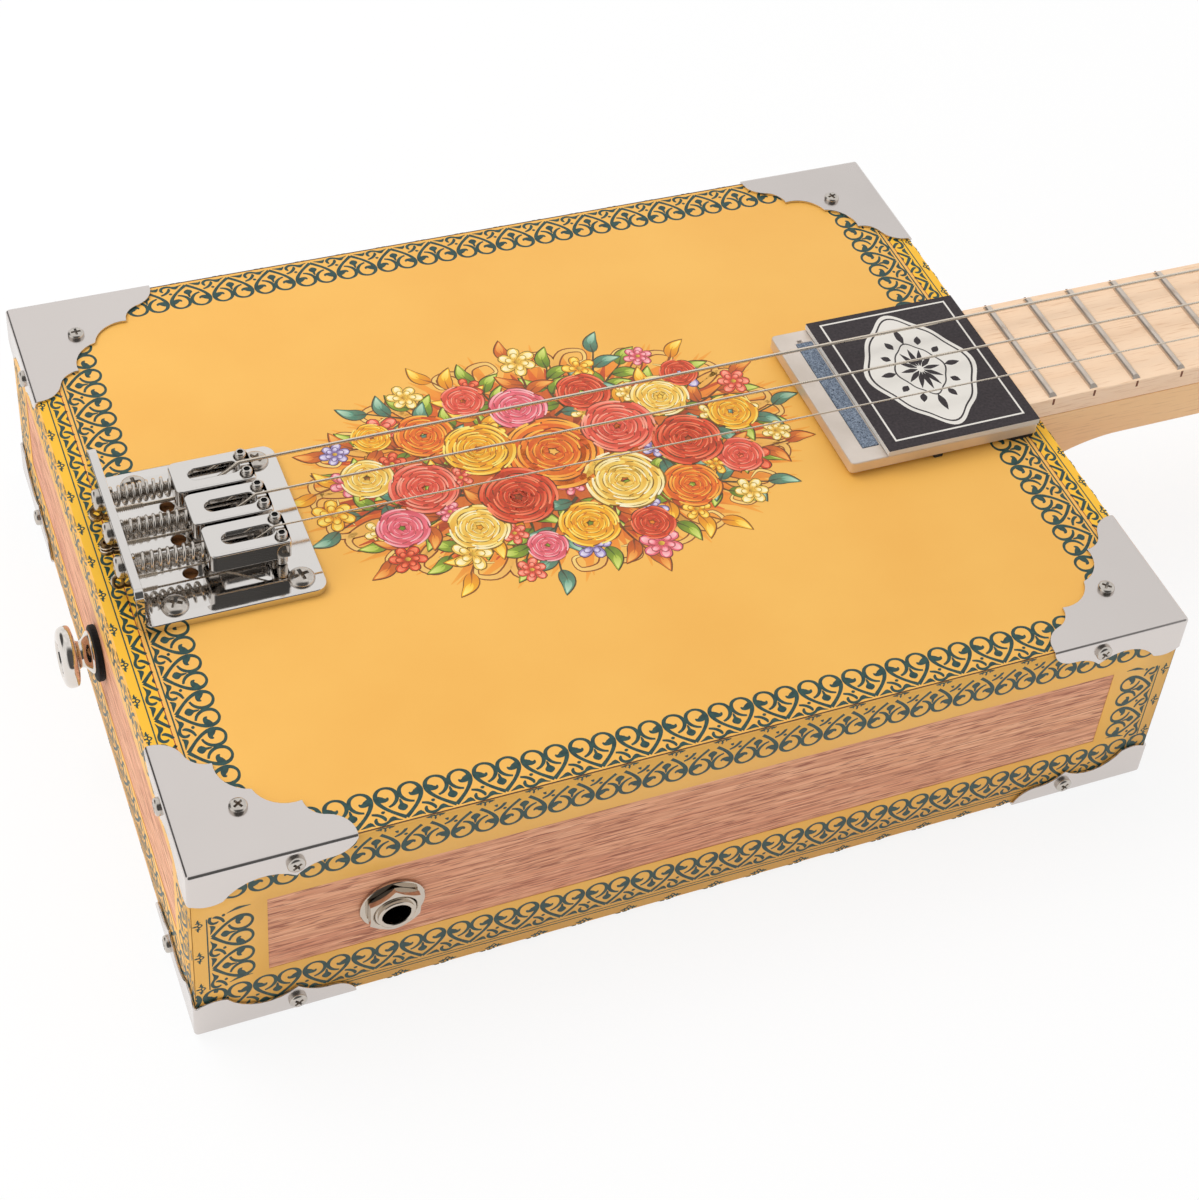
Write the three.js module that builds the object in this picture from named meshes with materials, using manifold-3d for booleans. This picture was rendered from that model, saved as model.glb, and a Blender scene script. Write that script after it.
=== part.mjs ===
// A three-string box guitar: a papered wooden box with pressed metal corners, a through neck,
// a hardtail bridge with three sliding saddles, a flat pickup, an output jack and three tuners.
// Millimetres, +Z up, strings along +X, the origin in the middle of the back panel's bare window.
import * as THREE from "three";
import { mergeVertices } from "three/addons/utils/BufferGeometryUtils.js";
import Module from "manifold-3d";

const wasm = await Module();
wasm.setup();

// Fits that all sub-parts share.
const seam = 0.1; // glued or screwed faces
const clearance = 0.3; // round pieces in their holes
const overrun = 2; // how far a cutter reaches past the face it opens

// The box.
const boxLength = 232.4;
const boxWidth = 179.6;
const boxDepth = 53.2;
const wallThickness = 4;
const lidThickness = 3;
const backThickness = 3;
const rabbetWidth = 2; // lip of each wall outside the lid and the back
const paperThickness = 0.1;
const backBorder = 19; // papered frame round the bare window of the back

// The pressed corner brackets.
const sheetThickness = 0.6;
const sheetGap = 0.2;
const bracketLeg = 35.75;
const bracketScrewInset = 14.4;
const flapScrewAlong = 22.4;
const flapScrewDepth = 3.7;
const bracketScrewRadius = 1;
const bracketScrewLength = 3;
const bracketHeadRadius = 2;
const bracketHeadHeight = 1.2;

// The neck and its tongue inside the box.
const scaleLength = 628.65;
const neckWidth = 37.4;
const shaftThickness = 12;
const heelThickness = 20.2;
const tongueDepth = 27.9;
const tongueRelief = 3;
const heelLength = 26.3;
const heelSill = 5; // level stretch of the heel inside the wall
const tongueRise = 16;
const blockLength = 50; // wide block at the tail end of the tongue
const blockWidth = 56;
const headDrop = 6;
const headThickness = 14;
const headLength = 148;
const headWidth = 46;
const headRamp = 12;
const headFlare = 24;
const headTip = 10;
const headUnderRamp = 26;

// The fingerboard, frets and nut.
const boardThickness = 5.7;
const boardStart = 0.2; // inside face of the neck wall to the end of the board
const fretCount = 20;
const fretWidth = 2.2;
const fretHeight = 1.05;
const fretLength = 36;
const fretBevel = 1;
const nutThickness = 5;
const nutHeight = 2.6; // above the board
const stringOverFret = 0.5; // at the nut

// The strings.
const stringCount = 3;
const bridgePitch = 10.85;
const nutPitch = 12.95;
const stringRadii = [0.53, 0.4, 0.28];
const stringFlangeHeight = 4.3; // above the box
const stringSides = 6;
const ballRadius = 1.9;
const ballLength = 3.4;

// The bridge.
const bridgeInset = 5.3; // tail end of the box to the flange
const saddleLineSetback = 32.25; // flange to the nominal saddle line
const firstSaddleOffset = -0.45;
const saddleStep = 1.05;
const plateThickness = 2;
const plateLength = 42.8;
const plateWidth = 48.4;
const plateCorner = 3;
const flangeHeight = 13;
const bendRadius = 1.9;
const mountScrewBack = 9.3; // flange to the rear pair
const mountScrewFront = 37.7;
const mountScrewSpread = 19.5;
const mountScrewRadius = 1.5;
const mountScrewLength = 16;
const mountHeadRadius = 2.95;
const mountHeadHeight = 1.7;
const throughHoleBack = 14.9;
const throughHoleRadius = 1.7;
const saddleLength = 18.4;
const saddleWidth = 10;
const saddleHeight = 5;
const saddleTopHeight = 10.6; // above the box
const saddleRoof = 1.5;
const saddleSide = 1.2;
const saddleRearBlock = 3.4;
const saddleFrontBlock = 3.8;
const slotWidth = 3.6;
const slotLength = 11.8;
const slotFront = 15.6; // rear face to where the string breaks
const heightScrewRadius = 1.3;
const heightScrewFit = 0.2;
const heightScrewSpread = 2.9;
const heightScrewBack = 1.8; // behind the front face
const heightScrewProud = 1;
const hexRadius = 0.8;
const hexDepth = 1.2;
const adjusterHeight = 8.6; // axis above the box
const adjusterRadius = 1.25;
const adjusterHeadRadius = 2.6;
const adjusterHeadHeight = 1.6;
const adjusterReach = 1; // past the saddle's rear block
const springRadius = 2.45;
const springWireRadius = 0.375;
const springCurls = 8;

// The pickup.
const pickupLength = 51.2;
const pickupWidth = 48.6;
const pickupBaseThickness = 3.2;
const pickupPadThickness = 1.2;
const pickupPadInset = 2;
const pickupGap = 0.4; // to the end of the fingerboard
const cardLength = 41.5;
const cardWidth = 49;
const cardThickness = 1.6;
const strikerLength = 39.6;
const strikerWidth = 4.5;
const strikerSetback = 5; // from the pickup's tail edge
const strikerDepth = 1;
const leadRadius = 1.2;
const leadHoleInset = 26;
const leadHoleSide = 21.5;

// The output jack.
const jackInset = 42.4; // from the tail end of the box
const jackRise = 0.85; // above the middle of the box
const jackBoreRadius = 3.175;
const jackSleeveRadius = 4.65;
const jackProud = 3.8;
const jackFlangeRadius = 6.6;
const jackFlangeThickness = 1.6;
const jackWasherRadius = 7.2;
const jackWasherThickness = 0.8;
const jackNutFlats = 11;
const jackNutThickness = 2;
const jackStackWidth = 10;
const jackStackLength = 6;
const jackStackRise = 6.2;
const jackStackHeight = 5.6;
const jackLeafThickness = 0.5;
const jackLeafWidth = 5;
const jackLeafLength = 17;
const jackLeafRootRise = 9.4;
const jackLeafTipRise = 1.8;
const jackLeafLip = 3;

// The strap button at the tail.
const strapSide = -4;
const strapRise = 2.75; // above the middle of the box
const feltDrop = 0.75; // the felt hangs a little low on the screw
const feltRadius = 6.7;
const feltThickness = 1.6;
const strapLength = 7.3;
const strapHeadRadius = 7.2;
const strapFaceRadius = 6;
const strapHeadThickness = 3.6;
const strapBaseRadius = 5;
const strapWaistRadius = 3.1;
const strapScrewRadius = 2;
const strapScrewHeadRadius = 3.5;
const strapScrewHeadHeight = 2.4;
const strapScrewBite = 18; // into the tongue
const strapDishWall = 1.2;

// The tuners.
const postRadius = 3;
const postWaistRadius = 2.6;
const postHeight = 12.5; // above the face of the head
const postHoleHeight = 10;
const postHoleRadius = 0.9;
const postRowSide = 12;
const postPlaceShares = [0.27, 0.574, 0.419]; // of the head, strings one to three
const postSides = [1, 1, -1];
const bushingRadius = 4.9;
const bushingNutRadius = 6.6;
const bushingNutThickness = 2.2;
const bushingWasherRadius = 7.4;
const bushingWasherThickness = 0.8;
const housingRadius = 8;
const housingDepth = 9;
const wormBarrelRadius = 4.4;
const wormOffset = 7;
const wormBarrelReach = 10.5;
const housingLug = 4; // mounting lug past the housing
const housingLugThickness = 2;
const shaftRadius = 2;
const buttonGap = 3.5; // end of the barrel to the button
const buttonLength = 16;
const buttonRadius = 9.5;
const buttonFlatShare = 0.42;
const buttonShares = [[0.6, 0.25], [1, 0.5], [0.95, 0.75], [0.6, 0.99]]; // radius and length
const collarRadius = 3.2;
const windingTurns = 2.5;
const windingPitch = 1.6;

// How finely round things are faceted.
const hexSides = 6;
const arcSteps = 3;
const slotSteps = 4;
const coarseSides = 8;
const roundSides = 12;
const fineSides = 20;
const loopSteps = 24;
const curlSteps = 8;
const curlSides = 5;
const leadSteps = 36;

// Looks of the bare solids.
const paper = new THREE.MeshStandardMaterial({ color: 0xd9a24f, roughness: 0.6 });
const maple = new THREE.MeshStandardMaterial({ color: 0xe6c193, roughness: 0.5 });
const chrome = new THREE.MeshStandardMaterial({ color: 0xdcd8d4, roughness: 0.1, metalness: 1 });
const steel = new THREE.MeshStandardMaterial({ color: 0xa8a29c, roughness: 0.3, metalness: 1 });
const card = new THREE.MeshStandardMaterial({ color: 0x332a2c, roughness: 0.7 });
const grit = new THREE.MeshStandardMaterial({ color: 0x7f8fa3, roughness: 0.9 });
const rubber = new THREE.MeshStandardMaterial({ color: 0x1a1818, roughness: 0.9 });
const bone = new THREE.MeshStandardMaterial({ color: 0xeeead8, roughness: 0.4 });

// Places that several sub-parts share.
const tailX = -boxLength / 2;
const headX = boxLength / 2;
const farY = boxWidth / 2;
const boxBottom = -paperThickness;
const boxTop = boxDepth - paperThickness;
const lidBottom = boxTop - lidThickness;
const flangeX = tailX + bridgeInset;
const nutX = flangeX + saddleLineSetback + scaleLength;
const nutBackX = nutX + nutThickness;
const boardX = headX - wallThickness + boardStart;
const boardTop = boxTop + seam + boardThickness;
const headTop = boxTop - headDrop;
const headBottom = headTop - headThickness;
const jackX = tailX + jackInset;
const jackZ = (boxTop + boxBottom) / 2 + jackRise;
const strapZ = (boxTop + boxBottom) / 2 + strapRise;
const plateBottom = boxTop + seam;
const plateTop = plateBottom + plateThickness;
const saddleTop = boxTop + saddleTopHeight;
const adjusterZ = boxTop + adjusterHeight;
const stringFlangeZ = boxTop + stringFlangeHeight;
const pickupHeadX = boardX - pickupGap;
const pickupTailX = pickupHeadX - pickupLength;

// A closed geometry as a solid to join and cut, turned to face out whichever way it was drawn.
function solid(geometry) {
  const bare = geometry.index ? geometry.toNonIndexed() : geometry.clone();
  bare.deleteAttribute("normal");
  bare.deleteAttribute("uv");
  const merged = mergeVertices(bare);
  const vertProperties = merged.attributes.position.array;
  const triVerts = new Uint32Array(merged.index.array);
  const made = new wasm.Manifold(new wasm.Mesh({ numProp: 3, vertProperties, triVerts }));
  if (made.volume() > 0) return made;
  const turned = triVerts.map((_, i) => triVerts[i % 3 === 0 ? i : i % 3 === 1 ? i + 1 : i - 1]);
  return new wasm.Manifold(new wasm.Mesh({ numProp: 3, vertProperties, triVerts: turned }));
}

// A named mesh in its own colour from a finished solid.
function piece(name, made, look, parent) {
  const { vertProperties, triVerts } = made.getMesh();
  const geometry = new THREE.BufferGeometry();
  geometry.setAttribute("position", new THREE.BufferAttribute(vertProperties, 3));
  geometry.setIndex(new THREE.BufferAttribute(triVerts, 1));
  const mesh = new THREE.Mesh(geometry.toNonIndexed(), look);
  mesh.geometry.computeVertexNormals();
  mesh.name = name;
  parent.add(mesh);
  return mesh;
}

// The solids of a list joined, and a solid with each of a list cut from it.
const join = (list) => list.reduce((a, b) => a.add(b));
const cut = (body, list) => list.reduce((a, b) => a.subtract(b), body);

// A block between two planes on each axis.
function block(x0, x1, y0, y1, z0, z1) {
  const geometry = new THREE.BoxGeometry(x1 - x0, y1 - y0, z1 - z0);
  return solid(geometry.translate((x0 + x1) / 2, (y0 + y1) / 2, (z0 + z1) / 2));
}

// A geometry drawn round +Y, laid along the named axis with its start at the given place.
function lay(geometry, axis, x, y, z) {
  if (axis === "x") geometry.rotateZ(-Math.PI / 2);
  if (axis === "z") geometry.rotateX(Math.PI / 2);
  return geometry.translate(x, y, z);
}

// A round bar of the given length from its start, along +axis.
function rod(axis, radius, length, x, y, z, sides = roundSides) {
  const bar = new THREE.CylinderGeometry(radius, radius, length, sides);
  return solid(lay(bar.translate(0, length / 2, 0), axis, x, y, z));
}

// A turned piece from pairs of radius and distance along the axis.
function turned(profile, axis, x, y, z, sides = roundSides) {
  const points = profile.map(([radius, along]) => new THREE.Vector2(radius, along));
  return solid(lay(new THREE.LatheGeometry(points, sides), axis, x, y, z));
}

// An outline extruded along Z from the given height, its arcs cut into segments and their
// doubled end points dropped.
function sheet(shape, thickness, z = 0, segments = arcSteps) {
  const all = shape.getPoints(segments);
  const apart = (a, b) => a.distanceTo(b) > seam / 10;
  const points = all.filter((point, i) => apart(point, all[(i + 1) % all.length]));
  const options = { depth: thickness, bevelEnabled: false };
  return new THREE.ExtrudeGeometry(new THREE.Shape(points), options).translate(0, 0, z);
}

// Axes of an outline: x and y of the drawing, then the way it is extruded.
const axes = { x: [1, 0, 0], y: [0, 1, 0], z: [0, 0, 1] };
function onAxes(geometry, a, b, c) {
  const basis = [a, b, c].map((axis) => new THREE.Vector3(...axes[axis]));
  return geometry.applyMatrix4(new THREE.Matrix4().makeBasis(...basis));
}

// A closed outline through corner points.
const outline = (points) => new THREE.Shape(points.map(([a, b]) => new THREE.Vector2(a, b)));

// A route whose stations are its own points, so that bends and straights get only what they need.
class Route extends THREE.Curve {
  constructor(points) {
    super();
    this.points = points;
  }
  getPoint(t, target = new THREE.Vector3()) {
    const place = t * (this.points.length - 1);
    const i = Math.min(Math.floor(place), this.points.length - 2);
    return target.lerpVectors(this.points[i], this.points[i + 1], place - i);
  }
  getPointAt(t, target) {
    return this.getPoint(t, target);
  }
  getTangent(t, target = new THREE.Vector3()) {
    const last = this.points.length - 1;
    const i = Math.round(t * last);
    const before = this.points[Math.max(i - 1, 0)];
    const after = this.points[Math.min(i + 1, last)];
    return target.subVectors(after, before).normalize();
  }
  getTangentAt(t, target) {
    return this.getTangent(t, target);
  }
}

// A closed tube along a route.
function tube(points, radius, sides) {
  const section = new THREE.Shape();
  const ring = Array.from({ length: sides }, (_, i) => {
    const angle = (2 * Math.PI * i) / sides;
    return new THREE.Vector2(radius * Math.cos(angle), radius * Math.sin(angle));
  });
  section.setFromPoints(ring);
  const options = { steps: points.length - 1, extrudePath: new Route(points) };
  return solid(new THREE.ExtrudeGeometry(section, options));
}

// Least gap between turns of a wound tube, measured between points at least half a turn apart.
function leastSelfGap(points, radius, stepsPerTurn) {
  let least = Infinity;
  points.forEach((a, i) => {
    const others = points.slice(i + Math.ceil(stepsPerTurn / 2));
    others.forEach((b) => (least = Math.min(least, a.distanceTo(b) - 2 * radius)));
  });
  return least;
}

const vec = (x, y, z) => new THREE.Vector3(x, y, z);
const stringY = (k) => bridgePitch * (1 - k);
const nutY = (k) => nutPitch * (1 - k);
const saddleRearX = (k) => breakX(k) - slotFront;
const strings = Array.from({ length: stringCount }, (_, k) => k);

// Where string k breaks over its saddle.
function breakX(k) {
  return flangeX + saddleLineSetback + firstSaddleOffset + saddleStep * k;
}

const guitar = new THREE.Group();
guitar.name = "box_guitar";

// Every bracket screw: the face it goes into, its place on it, and the way in.
function bracketScrewPlaces() {
  const outerX = headX + sheetGap + sheetThickness;
  const outerY = farY + sheetGap + sheetThickness;
  const faces = { top: boxTop + sheetGap + sheetThickness, back: boxBottom - sheetGap - sheetThickness };
  const places = [];
  for (const sx of [1, -1]) {
    for (const sy of [1, -1]) {
      for (const level of ["top", "back"]) {
        const sz = level === "top" ? 1 : -1;
        const inset = (along, s, outer) => s * (outer - along);
        const z = faces[level] - sz * flapScrewDepth;
        const flatX = inset(bracketScrewInset, sx, outerX);
        const flatY = inset(bracketScrewInset, sy, outerY);
        places.push({ axis: "z", way: -sz, at: [flatX, flatY, faces[level]] });
        places.push({ axis: "y", way: -sy, at: [inset(flapScrewAlong, sx, outerX), sy * outerY, z] });
        places.push({ axis: "x", way: -sx, at: [sx * outerX, inset(flapScrewAlong, sy, outerY), z] });
      }
    }
  }
  return places;
}

// Pilot holes for the bracket screws, wider than the shanks by the clearance.
function pilotHoles() {
  const depth = bracketScrewLength + clearance;
  return bracketScrewPlaces().map(({ axis, way, at }) => {
    const start = [...at];
    const i = "xyz".indexOf(axis);
    if (way < 0) start[i] -= depth;
    return rod(axis, bracketScrewRadius + clearance, depth, ...start, hexSides);
  });
}

// The box: four walls, with the lid and the back let into rabbets.
function makeBox() {
  const pocketX = headX - rabbetWidth;
  const pocketY = farY - rabbetWidth;
  const pilots = pilotHoles();
  const drill = (body) => cut(body, pilots);
  const lidPocket = block(-pocketX, pocketX, -pocketY, pocketY, lidBottom, boxTop + overrun);
  const backPocket = block(-pocketX, pocketX, -pocketY, pocketY, boxBottom - overrun, backThickness);
  const rebated = (body) => drill(cut(body, [lidPocket, backPocket]));

  const leadX = pickupHeadX - leadHoleInset;
  const lidHoles = [rod("z", leadRadius + clearance, lidThickness + 2 * overrun,
    leadX, -leadHoleSide, lidBottom - overrun, coarseSides)];
  for (const x of [mountScrewBack, mountScrewFront]) {
    for (const side of [1, -1]) {
      lidHoles.push(rod("z", mountScrewRadius + clearance, lidThickness + 2 * overrun,
        flangeX + x, side * mountScrewSpread, lidBottom - overrun, coarseSides));
    }
  }
  const lidX = pocketX - seam;
  const lidY = pocketY - seam;
  const lid = drill(cut(block(-lidX, lidX, -lidY, lidY, lidBottom + seam, boxTop), lidHoles));
  piece("lid", lid, paper, guitar);

  const windowX = headX - backBorder;
  const windowY = farY - backBorder;
  const window = block(-windowX, windowX, -windowY, windowY, boxBottom - overrun, 0);
  const back = cut(block(-lidX, lidX, -lidY, lidY, boxBottom, backThickness - seam), [window]);
  piece("back_panel", drill(back), paper, guitar);

  const innerY = farY - wallThickness;
  const jackHole = rod("y", jackSleeveRadius + clearance, wallThickness + 2 * overrun,
    jackX, -farY - overrun, jackZ, fineSides);
  const jackWall = block(tailX, headX, -farY, -innerY, boxBottom, boxTop);
  piece("wall_jack_side", cut(rebated(jackWall), [jackHole]), paper, guitar);
  piece("wall_far_side", rebated(block(tailX, headX, innerY, farY, boxBottom, boxTop)), paper, guitar);

  const endY = innerY - seam;
  const strapHole = rod("x", strapScrewRadius + clearance, wallThickness + 2 * overrun,
    tailX - overrun, strapSide, strapZ, coarseSides);
  const tail = block(tailX, tailX + wallThickness, -endY, endY, boxBottom, boxTop);
  piece("wall_tail", cut(rebated(tail), [strapHole]), paper, guitar);
  const notchY = neckWidth / 2 + clearance;
  const notch = block(headX - wallThickness - overrun, headX + overrun, -notchY, notchY,
    boxTop - heelThickness - clearance, boxTop + overrun);
  const neckEnd = block(headX - wallThickness, headX, -endY, endY, boxBottom, boxTop);
  piece("wall_neck", cut(rebated(neckEnd), [notch]), paper, guitar);
}

// Outlines of a bracket as shares of its leg. Each row is an arc: its end, its radius, and
// whether it turns clockwise.
const faceStartShares = [0, 0.993];
const faceArcShares = [
  [0.199, 0.874, 0.176, true],
  [0.344, 0.761, 0.146, false],
  [0.509, 0.509, 0.222, false],
  [0.761, 0.344, 0.222, false],
  [0.874, 0.199, 0.146, false],
  [0.993, 0, 0.176, true],
];
const flapStartShares = [0, 0.246];
const flapArcShares = [
  [0.204, 0.288, 0.18, true],
  [0.632, 0.224, 0.288, false],
  [0.839, 0.14, 0.264, false],
  [1, 0, 0.167, true],
];

// A scalloped outline from the corner along one edge, over the arcs, and back along the other.
function scalloped(start, rows) {
  const shape = new THREE.Shape();
  shape.moveTo(0, 0);
  let from = new THREE.Vector2(...start).multiplyScalar(bracketLeg);
  shape.lineTo(from.x, from.y);
  for (const [x, y, radiusShare, clockwise] of rows) {
    const to = new THREE.Vector2(x, y).multiplyScalar(bracketLeg);
    const radius = radiusShare * bracketLeg;
    const chord = to.clone().sub(from);
    const rise = Math.sqrt(radius ** 2 - chord.lengthSq() / 4) * (clockwise ? -1 : 1);
    const side = new THREE.Vector2(-chord.y, chord.x).setLength(rise);
    const centre = from.clone().add(to).multiplyScalar(1 / 2).add(side);
    const angle = (point) => Math.atan2(point.y - centre.y, point.x - centre.x);
    shape.absarc(centre.x, centre.y, radius, angle(from), angle(to), clockwise);
    from = to;
  }
  shape.closePath();
  return shape;
}

// One corner bracket, drawn with its outer corner at the origin and the box in +x, +y, +z.
function bracketSolid() {
  const face = solid(sheet(scalloped(faceStartShares, faceArcShares), sheetThickness));
  const flap = scalloped(flapStartShares, flapArcShares);
  const flapY = solid(onAxes(sheet(flap, sheetThickness), "x", "z", "y"));
  const flapX = solid(onAxes(sheet(flap, sheetThickness), "y", "z", "x"));
  const profile = [
    [0, bracketScrewLength], [bracketScrewRadius, bracketScrewLength], [bracketScrewRadius, 0],
    [bracketHeadRadius, 0], [bracketHeadRadius, -bracketHeadHeight / 2], [0, -bracketHeadHeight],
  ];
  const screws = [
    turned(profile, "z", bracketScrewInset, bracketScrewInset, 0, hexSides),
    turned(profile, "y", flapScrewAlong, 0, flapScrewDepth, hexSides),
    turned(profile, "x", 0, flapScrewAlong, flapScrewDepth, hexSides),
  ];
  return join([face, flapY, flapX, ...screws]);
}

// The eight brackets are one pressing, mirrored onto each corner.
function makeBrackets() {
  const pressing = bracketSolid();
  const outer = sheetGap + sheetThickness;
  const ends = { tail: -1, neck: 1 };
  const sides = { jack: -1, far: 1 };
  const levels = { top: [boxTop + outer, -1], back: [boxBottom - outer, 1] };
  for (const [level, [z, down]] of Object.entries(levels)) {
    for (const [end, sx] of Object.entries(ends)) {
      for (const [side, sy] of Object.entries(sides)) {
        const mesh = piece(`corner_${level}_${end}_${side}`, pressing, chrome, guitar);
        mesh.position.set(sx * (headX + outer), sy * (farY + outer), z);
        mesh.scale.set(-sx, -sy, down);
      }
    }
  }
}

// Side view of the neck: tongue under the lid, arched heel, shaft, and the dropped head.
function neckProfile() {
  const tongueTop = lidBottom - seam;
  const tongueBottom = tongueTop - tongueDepth;
  const tongueTail = tailX + wallThickness + seam;
  const heelBottom = boxTop - heelThickness;
  const shaftBottom = boxTop - shaftThickness;
  const sillX = headX - wallThickness - heelSill / 2;
  const riseX = headX - rabbetWidth + clearance;
  const headEnd = nutBackX + headLength;
  const headStart = nutBackX + clearance;
  const reliefTail = tongueTail + blockLength;
  const reliefHead = sillX - tongueRise;
  const shape = new THREE.Shape();
  shape.moveTo(tongueTail, tongueBottom);
  shape.lineTo(sillX - tongueRise, tongueBottom);
  shape.quadraticCurveTo(sillX - tongueRise / 4, tongueBottom, sillX, heelBottom);
  shape.lineTo(headX + clearance, heelBottom);
  const heelMid = headX + heelLength / 2;
  shape.quadraticCurveTo(heelMid, shaftBottom, headX + heelLength, shaftBottom);
  shape.lineTo(nutX - headUnderRamp, shaftBottom);
  shape.quadraticCurveTo(nutX, shaftBottom, nutX + headUnderRamp / 2, headBottom);
  shape.lineTo(headEnd, headBottom);
  shape.lineTo(headEnd, headTop);
  shape.lineTo(headStart + headRamp, headTop);
  shape.quadraticCurveTo(headStart + headRamp / 3, headTop, headStart, boxTop);
  shape.lineTo(riseX, boxTop);
  shape.lineTo(riseX, tongueTop);
  shape.lineTo(reliefHead, tongueTop);
  shape.lineTo(reliefHead - tongueRelief, tongueTop - tongueRelief);
  shape.lineTo(reliefTail + tongueRelief, tongueTop - tongueRelief);
  shape.lineTo(reliefTail, tongueTop);
  shape.lineTo(tongueTail, tongueTop);
  shape.closePath();
  return { shape, tongueTop, tongueBottom, tongueTail, headEnd, headStart };
}

// The head seen from above: it flares from the neck and ends in a shallow point.
function headOutline(start, end) {
  const narrow = neckWidth / 2;
  const wide = headWidth / 2;
  const shape = new THREE.Shape();
  shape.moveTo(start, -narrow);
  const bend = start + headFlare / 2;
  shape.bezierCurveTo(bend, -narrow, bend, -wide, start + headFlare, -wide);
  shape.lineTo(end - headTip, -wide);
  shape.quadraticCurveTo(end, -wide / 2, end, 0);
  shape.quadraticCurveTo(end, wide / 2, end - headTip, wide);
  shape.lineTo(start + headFlare, wide);
  shape.bezierCurveTo(bend, wide, bend, narrow, start, narrow);
  shape.closePath();
  return shape;
}

// The neck in one piece from the tail wall to the tip of the head, drilled for what it carries.
function makeNeck() {
  const { shape, tongueTop, tongueBottom, tongueTail, headEnd, headStart } = neckProfile();
  const half = neckWidth / 2;
  const bar = solid(onAxes(sheet(shape, neckWidth, -half, slotSteps), "x", "z", "y"));
  const blockHalf = blockWidth / 2;
  const tailBlock = block(tongueTail, tongueTail + blockLength, -blockHalf, blockHalf,
    tongueBottom, tongueTop);
  const paddleStart = headStart + headRamp;
  const paddle = solid(sheet(headOutline(paddleStart, headEnd), headThickness, headBottom, slotSteps));
  const strip = block(headEnd - headTip, headEnd + overrun, -headWidth, headWidth,
    headBottom - overrun, headTop + overrun);
  const shaft = cut(bar, [strip]);
  const holes = strings.map((k) =>
    rod("z", bushingRadius + clearance, headThickness + 2 * overrun,
      nutBackX + postPlaceShares[k] * headLength, postSides[k] * postRowSide, headBottom - overrun));
  for (const x of [mountScrewBack, mountScrewFront]) {
    for (const side of [1, -1]) {
      holes.push(rod("z", mountScrewRadius + clearance, mountScrewLength + overrun,
        flangeX + x, side * mountScrewSpread, tongueTop + overrun - mountScrewLength, coarseSides));
    }
  }
  holes.push(rod("x", strapScrewRadius + clearance, strapScrewBite + overrun + clearance,
    tongueTail - overrun, strapSide, strapZ, coarseSides));
  piece("neck", cut(join([shaft, tailBlock, paddle]), holes), maple, guitar);
}

// The fingerboard with its frets pressed in, spaced by equal temperament from the nut.
function makeFingerboard() {
  const half = neckWidth / 2;
  const board = block(boardX, nutX - seam, -half, half, boxTop + seam, boardTop);
  const frets = [];
  for (let n = 1; n <= fretCount; n++) {
    const x = nutX - scaleLength * (1 - 2 ** (-n / 12));
    if (x < boardX + fretWidth) continue;
    const section = new THREE.Shape();
    section.absellipse(x, boardTop - seam, fretWidth / 2, fretHeight + seam, 0, Math.PI, false, 0);
    section.closePath();
    frets.push(solid(onAxes(sheet(section, fretLength, -fretLength / 2), "x", "z", "y")));
  }
  const crown = boardTop + fretHeight;
  const bevels = [1, -1].map((side) => {
    const edge = (side * fretLength) / 2;
    const triangle = outline([
      [edge + side * overrun, boardTop + seam], [edge, boardTop + seam],
      [edge - side * fretBevel, crown + seam], [edge + side * overrun, crown + overrun],
    ]);
    return solid(onAxes(sheet(triangle, nutX - boardX, boardX), "y", "z", "x"));
  });
  piece("fingerboard", join([board, cut(join(frets), bevels)]), maple, guitar);
}

// Height of string k's centre over the nut and over its saddle.
const nutZ = (k) => boardTop + fretHeight + stringOverFret + stringRadii[k];
const breakZ = (k) => saddleTop + clearance + stringRadii[k];

// The nut, slotted to the size of each string.
function makeNut() {
  const half = neckWidth / 2 - seam;
  const top = boardTop + nutHeight;
  const slots = strings.map((k) => {
    const radius = stringRadii[k] + clearance;
    const x = nutX - overrun;
    const length = nutThickness + 2 * overrun;
    const round = rod("x", radius, length, x, nutY(k), nutZ(k), curlSteps);
    const mouth = block(x, x + length, nutY(k) - radius, nutY(k) + radius, nutZ(k), top + overrun);
    return join([round, mouth]);
  });
  piece("nut", cut(block(nutX, nutBackX, -half, half, boxTop + seam, top), slots), bone, guitar);
}

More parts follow.
